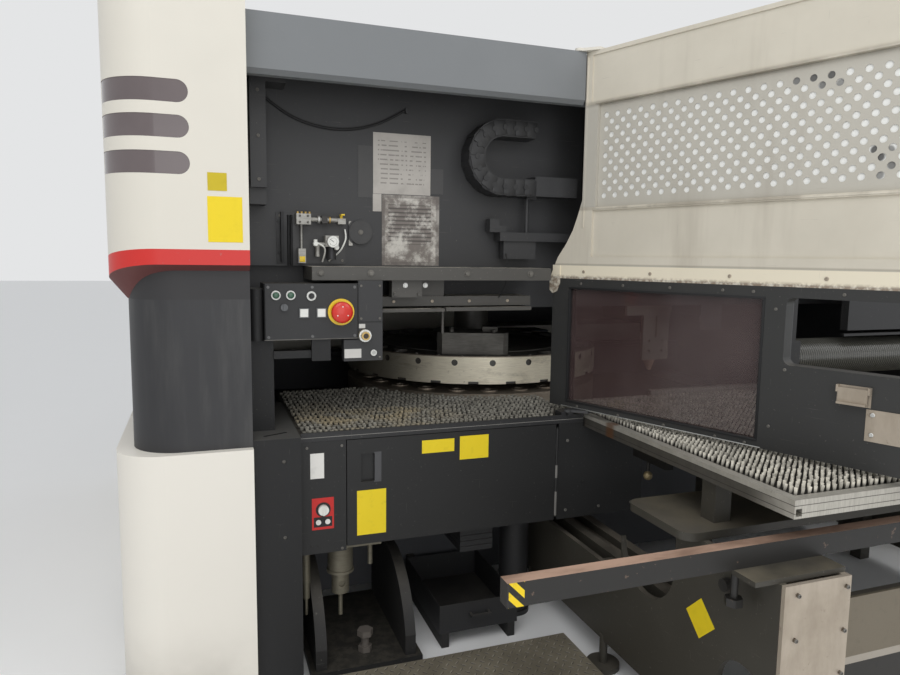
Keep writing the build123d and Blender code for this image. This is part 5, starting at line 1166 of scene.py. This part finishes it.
class MACHINE_OT_control_details(bpy.types.Operator):
    """Models the stop button's head, the lamp lenses, the button rims and the coupling"""

    bl_idname = "machine.control_details"
    bl_label = "Control details"

    def execute(self, context):
        low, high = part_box("emergency_stop_button")
        x, z = (low[0] + high[0]) / 2, (low[2] + high[2]) / 2
        stop = Shape()
        stop.take(disc(0.0135, 0.040, 0.001), "red plastic", pointing_front(x, high[1], z))
        stop.take(dome((high[0] - low[0]) / 2, 0.0258, 0.014, 36), "red plastic",
                  pointing_front(x, low[1] + 0.0260, z))
        for turn in range(3):
            angle = math.radians(90 + 120 * turn)
            spot = Vector((x + 0.017 * math.cos(angle), low[1] + 0.0030, z + 0.017 * math.sin(angle)))
            mark = block((-0.0055, 0.0055), (-0.0012, 0.0012), (-0.0022, 0.0022), 0.0006)
            stop.take(mark, "white plastic", Matrix.Translation(spot) @ Matrix.Rotation(-angle, 4, "Y"))
        stop.finished("stop_button_head", "emergency_stop_button", ["emergency_stop_button"])

        rims = Shape()
        rims.take(ring(0.0455, 0.030, 0.0012), "yellow plastic", pointing_front(x, BOX_FACE - 0.001, z))
        for lamp_x in (-1.595, -1.546):
            rims.take(ring(0.016, 0.0112, 0.0045), "bright metal", pointing_front(lamp_x, BOX_FACE, 1.369))
            rims.take(dome(0.0105, 0.0040, 0.0012, 20), "lamp green",
                      pointing_front(lamp_x, BOX_FACE - 0.003, 1.369))
        rims.take(ring(0.0165, 0.0100, 0.0035), "bright metal", pointing_front(-1.477, BOX_FACE, 1.366))
        for middle in (-1.502, -1.443):
            for low_x, high_x, low_z, high_z in ((-0.017, -0.0145, -0.017, 0.017),
                                                 (0.0145, 0.017, -0.017, 0.017),
                                                 (-0.0145, 0.0145, 0.0145, 0.017),
                                                 (-0.0145, 0.0145, -0.017, -0.0145)):
                frame_side = block((middle + low_x, middle + high_x), (BOX_FACE - 0.0025, BOX_FACE),
                                   (1.308 + low_z, 1.308 + high_z), 0.0004)
                rims.take(frame_side, "grey plastic")
        rims.take(block((-1.634, -1.313), (-0.8008, -0.7995), (1.2165, 1.2185), 0.0003), "oiled steel")
        rims.finished("control_box_rims", "machine")

        fittings = Shape()
        fittings.take(ring(0.0225, 0.0140, 0.0035), "bright metal", pointing_front(-1.290, -0.802, 1.225))
        fittings.take(ring(0.0150, 0.0095, 0.0025), "brass", pointing_front(-1.290, -0.816, 1.225))
        fittings.take(ring(0.0115, 0.0070, 0.0020), "bright metal", pointing_front(-1.258, -0.797, 1.163))
        for x, z in ((-1.302, 1.400), (-1.235, 1.400), (-1.302, 1.285), (-1.235, 1.285), (-1.235, 1.146)):
            fittings.screw((x, -0.792, z), FRONT, 0.0045, 0.0028, "oiled steel")
        fittings.finished("fitting_rings", "machine")
        return {"FINISHED"}


class MACHINE_OT_air_details(bpy.types.Operator):
    """Models the gauge, elbows, tubes and screws of the air unit on the wall"""

    bl_idname = "machine.air_details"
    bl_label = "Air unit details"

    def execute(self, context):
        shape = Shape()
        x, z = GAUGE
        face = -0.6600
        shape.take(disc(0.0215, 0.010, 0.001, 32), "bright metal", pointing_front(x, face, z))
        shape.take(disc(0.0180, 0.0012, 0.0003, 32), "gauge dial", pointing_front(x, face - 0.0096, z))
        pointer = block((-0.0008, 0.0008), (-0.0006, 0.0006), (-0.003, 0.013), 0.0002)
        shape.take(pointer, "black plastic",
                   Matrix.Translation((x, face - 0.0112, z)) @ Matrix.Rotation(-0.9, 4, "Y"))
        for x, z in ((-1.438, 1.545), (-1.362, 1.533)):
            shape.take(disc(0.0085, 0.020, 0.0015), "white plastic", pointing_front(x, -0.640, z))
            shape.take(disc(0.0070, 0.016, 0.0010), "white plastic", towards((x, -0.652, z), UP))
        for x in (-1.498, -1.484, -1.470, -1.456):
            shape.take(disc(0.0045, 0.008, 0.0008, 16), "brass", towards((x, -0.635, 1.652), UP))
        for z in (1.622, 1.644):
            for x in (-1.492, -1.464):
                shape.screw((x, -0.650, z), FRONT, 0.004, 0.003, "oiled steel")
        shape.take(ring(0.014, 0.009, 0.006), "bright metal", towards((-1.425, -0.627, 1.633), (1, 0, 0)))
        shape.take(ring(0.012, 0.0085, 0.006), "brass", towards((-1.385, -0.627, 1.633), (1, 0, 0)))
        shape.take(block((-1.493, -1.473), (-0.6355, -0.6335), (1.480, 1.500), 0.0008), "yellow plastic")
        shape.bolt((-1.264, -0.612, 1.592), FRONT, 0.007, 0.006, "oiled steel")
        for x, z in ((-1.558, 1.645), (-1.332, 1.486), (-1.332, 1.645)):
            shape.screw((x, -0.604, z), FRONT, 0.005, 0.003, "oiled steel")
        shape.finished("air_unit_fittings", "machine")
        wire("air_tubes", AIR_TUBES, 0.003, "white plastic")
        return {"FINISHED"}


class MACHINE_OT_turret_details(bpy.types.Operator):
    """Models the bolts and the rings on top of the upper turret"""

    bl_idname = "machine.turret_details"
    bl_label = "Turret details"

    def execute(self, context):
        shape = Shape()
        rim = ring(0.6475, 0.6330, 0.0035, 0.0008, 96)
        shape.take(rim, "turret steel", towards((*TURRET, TURRET_TOP), UP))
        seat = TURRET_TOP - 0.002
        shape.take(ring(0.470, 0.455, 0.0040, 0.0008, 72), "oiled steel", towards((*TURRET, seat), UP))
        for step in range(36):
            angle = math.radians(10 * step + 5)
            spot = (TURRET.x + 0.612 * math.cos(angle), TURRET.y + 0.612 * math.sin(angle), seat)
            shape.bolt(spot, UP, 0.0075, 0.008, "oiled steel")
        shape.finished("turret_top_bolts", "turret_upper")
        return {"FINISHED"}


class MACHINE_OT_column_backs(bpy.types.Operator):
    """Models the plates that close the two column tops behind, above the roof"""

    bl_idname = "machine.column_backs"
    bl_label = "Column backs"

    def execute(self, context):
        low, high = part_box("column_top_cover")
        shape = Shape()
        for side in (1, -1):
            across = sorted((side * (low[0] + 0.0045), side * (high[0] - 0.0045)))
            plate = block(across, (high[1] - 0.0035, high[1] - 0.0005), (ROOF_TOP + 0.001, high[2] - 0.0045),
                          0.0005)
            shape.take(plate, "column cream")
        shape.finished("column_back_plates", "machine")
        return {"FINISHED"}


class MACHINE_OT_fasteners(bpy.types.Operator):
    """Models bolts and screws on the wall, ledges, plinth, post plate and skirt"""

    bl_idname = "machine.fasteners"
    bl_label = "Fasteners"

    def execute(self, context):
        shape = Shape()
        for make, radius, height, finish, across, y, up in (
            (shape.bolt, 0.009, 0.008, "oiled steel", (-1.441, -1.264, -0.900, -0.640), -0.778, (1.4445,)),
            (shape.bolt, 0.007, 0.006, "bright metal", (-1.130, -1.054), -0.752, (1.400,)),
            (shape.screw, 0.006, 0.004, "plate steel", (-1.160, -1.010, -0.860, -0.700), -0.700, (1.338,)),
            (shape.screw, 0.0065, 0.004, "oiled steel", (-1.586,), -0.893, (0.822, 0.560)),
            (shape.screw, 0.006, 0.003, "oiled steel", (-1.635,), -0.700, (1.760, 2.055, 1.905)),
            (shape.screw, 0.0058, 0.004, "oiled steel", (-0.428, -0.264), -1.921,
             (0.663, 0.543, 0.423, 0.303, 0.183)),
            (shape.screw, 0.006, 0.003, "oiled steel", (-0.50, -0.20), TABLE_FACE, (0.80, 0.52)),
            (shape.screw, 0.006, 0.003, "oiled steel", (-0.35,), TABLE_FACE, (0.52,)),
            (shape.screw, 0.005, 0.003, "oiled steel", (-1.505,), TABLE_FACE, (0.850,)),
            (shape.screw, 0.005, 0.003, "oiled steel", (-1.385,), TABLE_FACE, (0.850, 0.480)),
        ):
            for x, z in itertools.product(across, up):
                make((x, y, z), FRONT, radius, height, finish)
        shape.finished("cover_fasteners", "machine")
        return {"FINISHED"}


class MACHINE_OT_stage(bpy.types.Operator):
    """Sets up the floor, the backdrop, the lamps and the camera"""

    bl_idname = "machine.stage"
    bl_label = "Stage"

    def execute(self, context):
        colours = context.scene.machine_colours
        floor = Shader("studio floor")
        dull = tuple(0.93 * channel for channel in colours.floor[:3]) + (1.0,)
        floor.tone = floor.mix(floor.noise(3.0, 3.0) * 0.2, tuple(colours.floor), dull)
        bm = bmesh.new()
        bmesh.ops.create_grid(bm, x_segments=1, y_segments=1, size=40.0)
        mesh = bpy.data.meshes.new("studio_floor")
        bm.to_mesh(mesh)
        bm.free()
        mesh.materials.append(floor.finish(0.8))
        plane = bpy.data.objects.new("studio_floor", mesh)
        context.scene.collection.objects.link(plane)
        self.light_world(context, colours)
        self.add_lamps(context)
        self.add_camera(context)
        context.scene.view_settings.view_transform = "Standard"
        return {"FINISHED"}

    def light_world(self, context, colours):
        """The backdrop for the camera, metal and glass, and a soft fill for everything else."""
        world = bpy.data.worlds.new("studio")
        context.scene.world = world
        world.use_nodes = True
        nodes, links = world.node_tree.nodes, world.node_tree.links
        nodes.clear()
        path = nodes.new("ShaderNodeLightPath")
        blend = nodes.new("ShaderNodeMixShader")
        for entry, colour, strength in ((1, srgb(240, 242, 245), 0.72), (2, tuple(colours.backdrop), 1.0)):
            background = nodes.new("ShaderNodeBackground")
            background.inputs["Color"].default_value = colour
            background.inputs["Strength"].default_value = strength
            links.new(background.outputs[0], blend.inputs[entry])
        seen = path.outputs["Is Camera Ray"]
        for ray in ("Is Transmission Ray", "Is Glossy Ray"):
            either = nodes.new("ShaderNodeMath")
            either.operation = "MAXIMUM"
            links.new(seen, either.inputs[0])
            links.new(path.outputs[ray], either.inputs[1])
            seen = either.outputs[0]
        links.new(seen, blend.inputs[0])
        output = nodes.new("ShaderNodeOutputWorld")
        links.new(blend.outputs[0], output.inputs["Surface"])

    def add_lamps(self, context):
        for name, spot, target, size, power in (
            ("overhead_left", (-2.6, -3.6, 4.6), (-0.9, -0.6, 0.9), 3.0, 60.0),
            ("overhead_right", (2.0, -4.2, 4.4), (0.2, -0.8, 0.9), 3.0, 50.0),
            ("low_front", (-1.2, -5.6, 1.6), (-0.8, -0.5, 0.8), 2.4, 24.0),
        ):
            lamp = bpy.data.lights.new(name, "AREA")
            lamp.shape = "SQUARE"
            lamp.size = size
            lamp.energy = power
            holder = bpy.data.objects.new(name, lamp)
            aim = Vector(target) - Vector(spot)
            holder.matrix_world = Matrix.Translation(spot) @ aim.to_track_quat("-Z", "Y").to_matrix().to_4x4()
            context.scene.collection.objects.link(holder)

    def add_camera(self, context):
        camera = bpy.data.cameras.new("front_camera")
        camera.sensor_width = 36.0
        camera.lens = 27.88
        camera.clip_end = 200.0
        holder = bpy.data.objects.new("front_camera", camera)
        yaw, pitch, roll = math.radians(19.67), math.radians(6.488), math.radians(0.728)
        turn = (Matrix.Rotation(-yaw, 4, "Z") @ Matrix.Rotation(math.radians(90) - pitch, 4, "X")
                @ Matrix.Rotation(roll, 4, "Z"))
        holder.matrix_world = Matrix.Translation((-1.83, -3.20, 1.5)) @ turn
        context.scene.collection.objects.link(holder)
        context.scene.camera = holder


OPERATORS = (
    MACHINE_OT_wall_leads,
    MACHINE_OT_finishes,
    MACHINE_OT_main_tufts,
    MACHINE_OT_side_tufts,
    MACHINE_OT_door_details,
    MACHINE_OT_extraction_hose,
    MACHINE_OT_chain_links,
    MACHINE_OT_tread_lozenges,
    MACHINE_OT_control_details,
    MACHINE_OT_air_details,
    MACHINE_OT_turret_details,
    MACHINE_OT_column_backs,
    MACHINE_OT_fasteners,
    MACHINE_OT_stage,
)


class MACHINE_PT_panel(bpy.types.Panel):
    """Lists the machine's pieces in the sidebar"""

    bl_label = "Laser machine"
    bl_idname = "MACHINE_PT_panel"
    bl_space_type = "VIEW_3D"
    bl_region_type = "UI"
    bl_category = "Laser machine"

    def draw(self, context):
        column = self.layout.column()
        for group in (context.scene.machine_sizes, context.scene.machine_colours):
            for name in group.bl_rna.properties.keys():
                if name not in ("rna_type", "name"):
                    column.prop(group, name)
        for operator in OPERATORS:
            column.operator(operator.bl_idname)


CLASSES = (MachineSizes, MachineColours, *OPERATORS, MACHINE_PT_panel)


def register():
    for entry in CLASSES:
        bpy.utils.register_class(entry)
    bpy.types.Scene.machine_sizes = PointerProperty(type=MachineSizes)
    bpy.types.Scene.machine_colours = PointerProperty(type=MachineColours)


def unregister():
    del bpy.types.Scene.machine_colours
    del bpy.types.Scene.machine_sizes
    for entry in reversed(CLASSES):
        bpy.utils.unregister_class(entry)


def main():
    register()
    for operator in OPERATORS:
        group, name = operator.bl_idname.split(".")
        getattr(getattr(bpy.ops, group), name)()


if __name__ == "__main__":
    main()
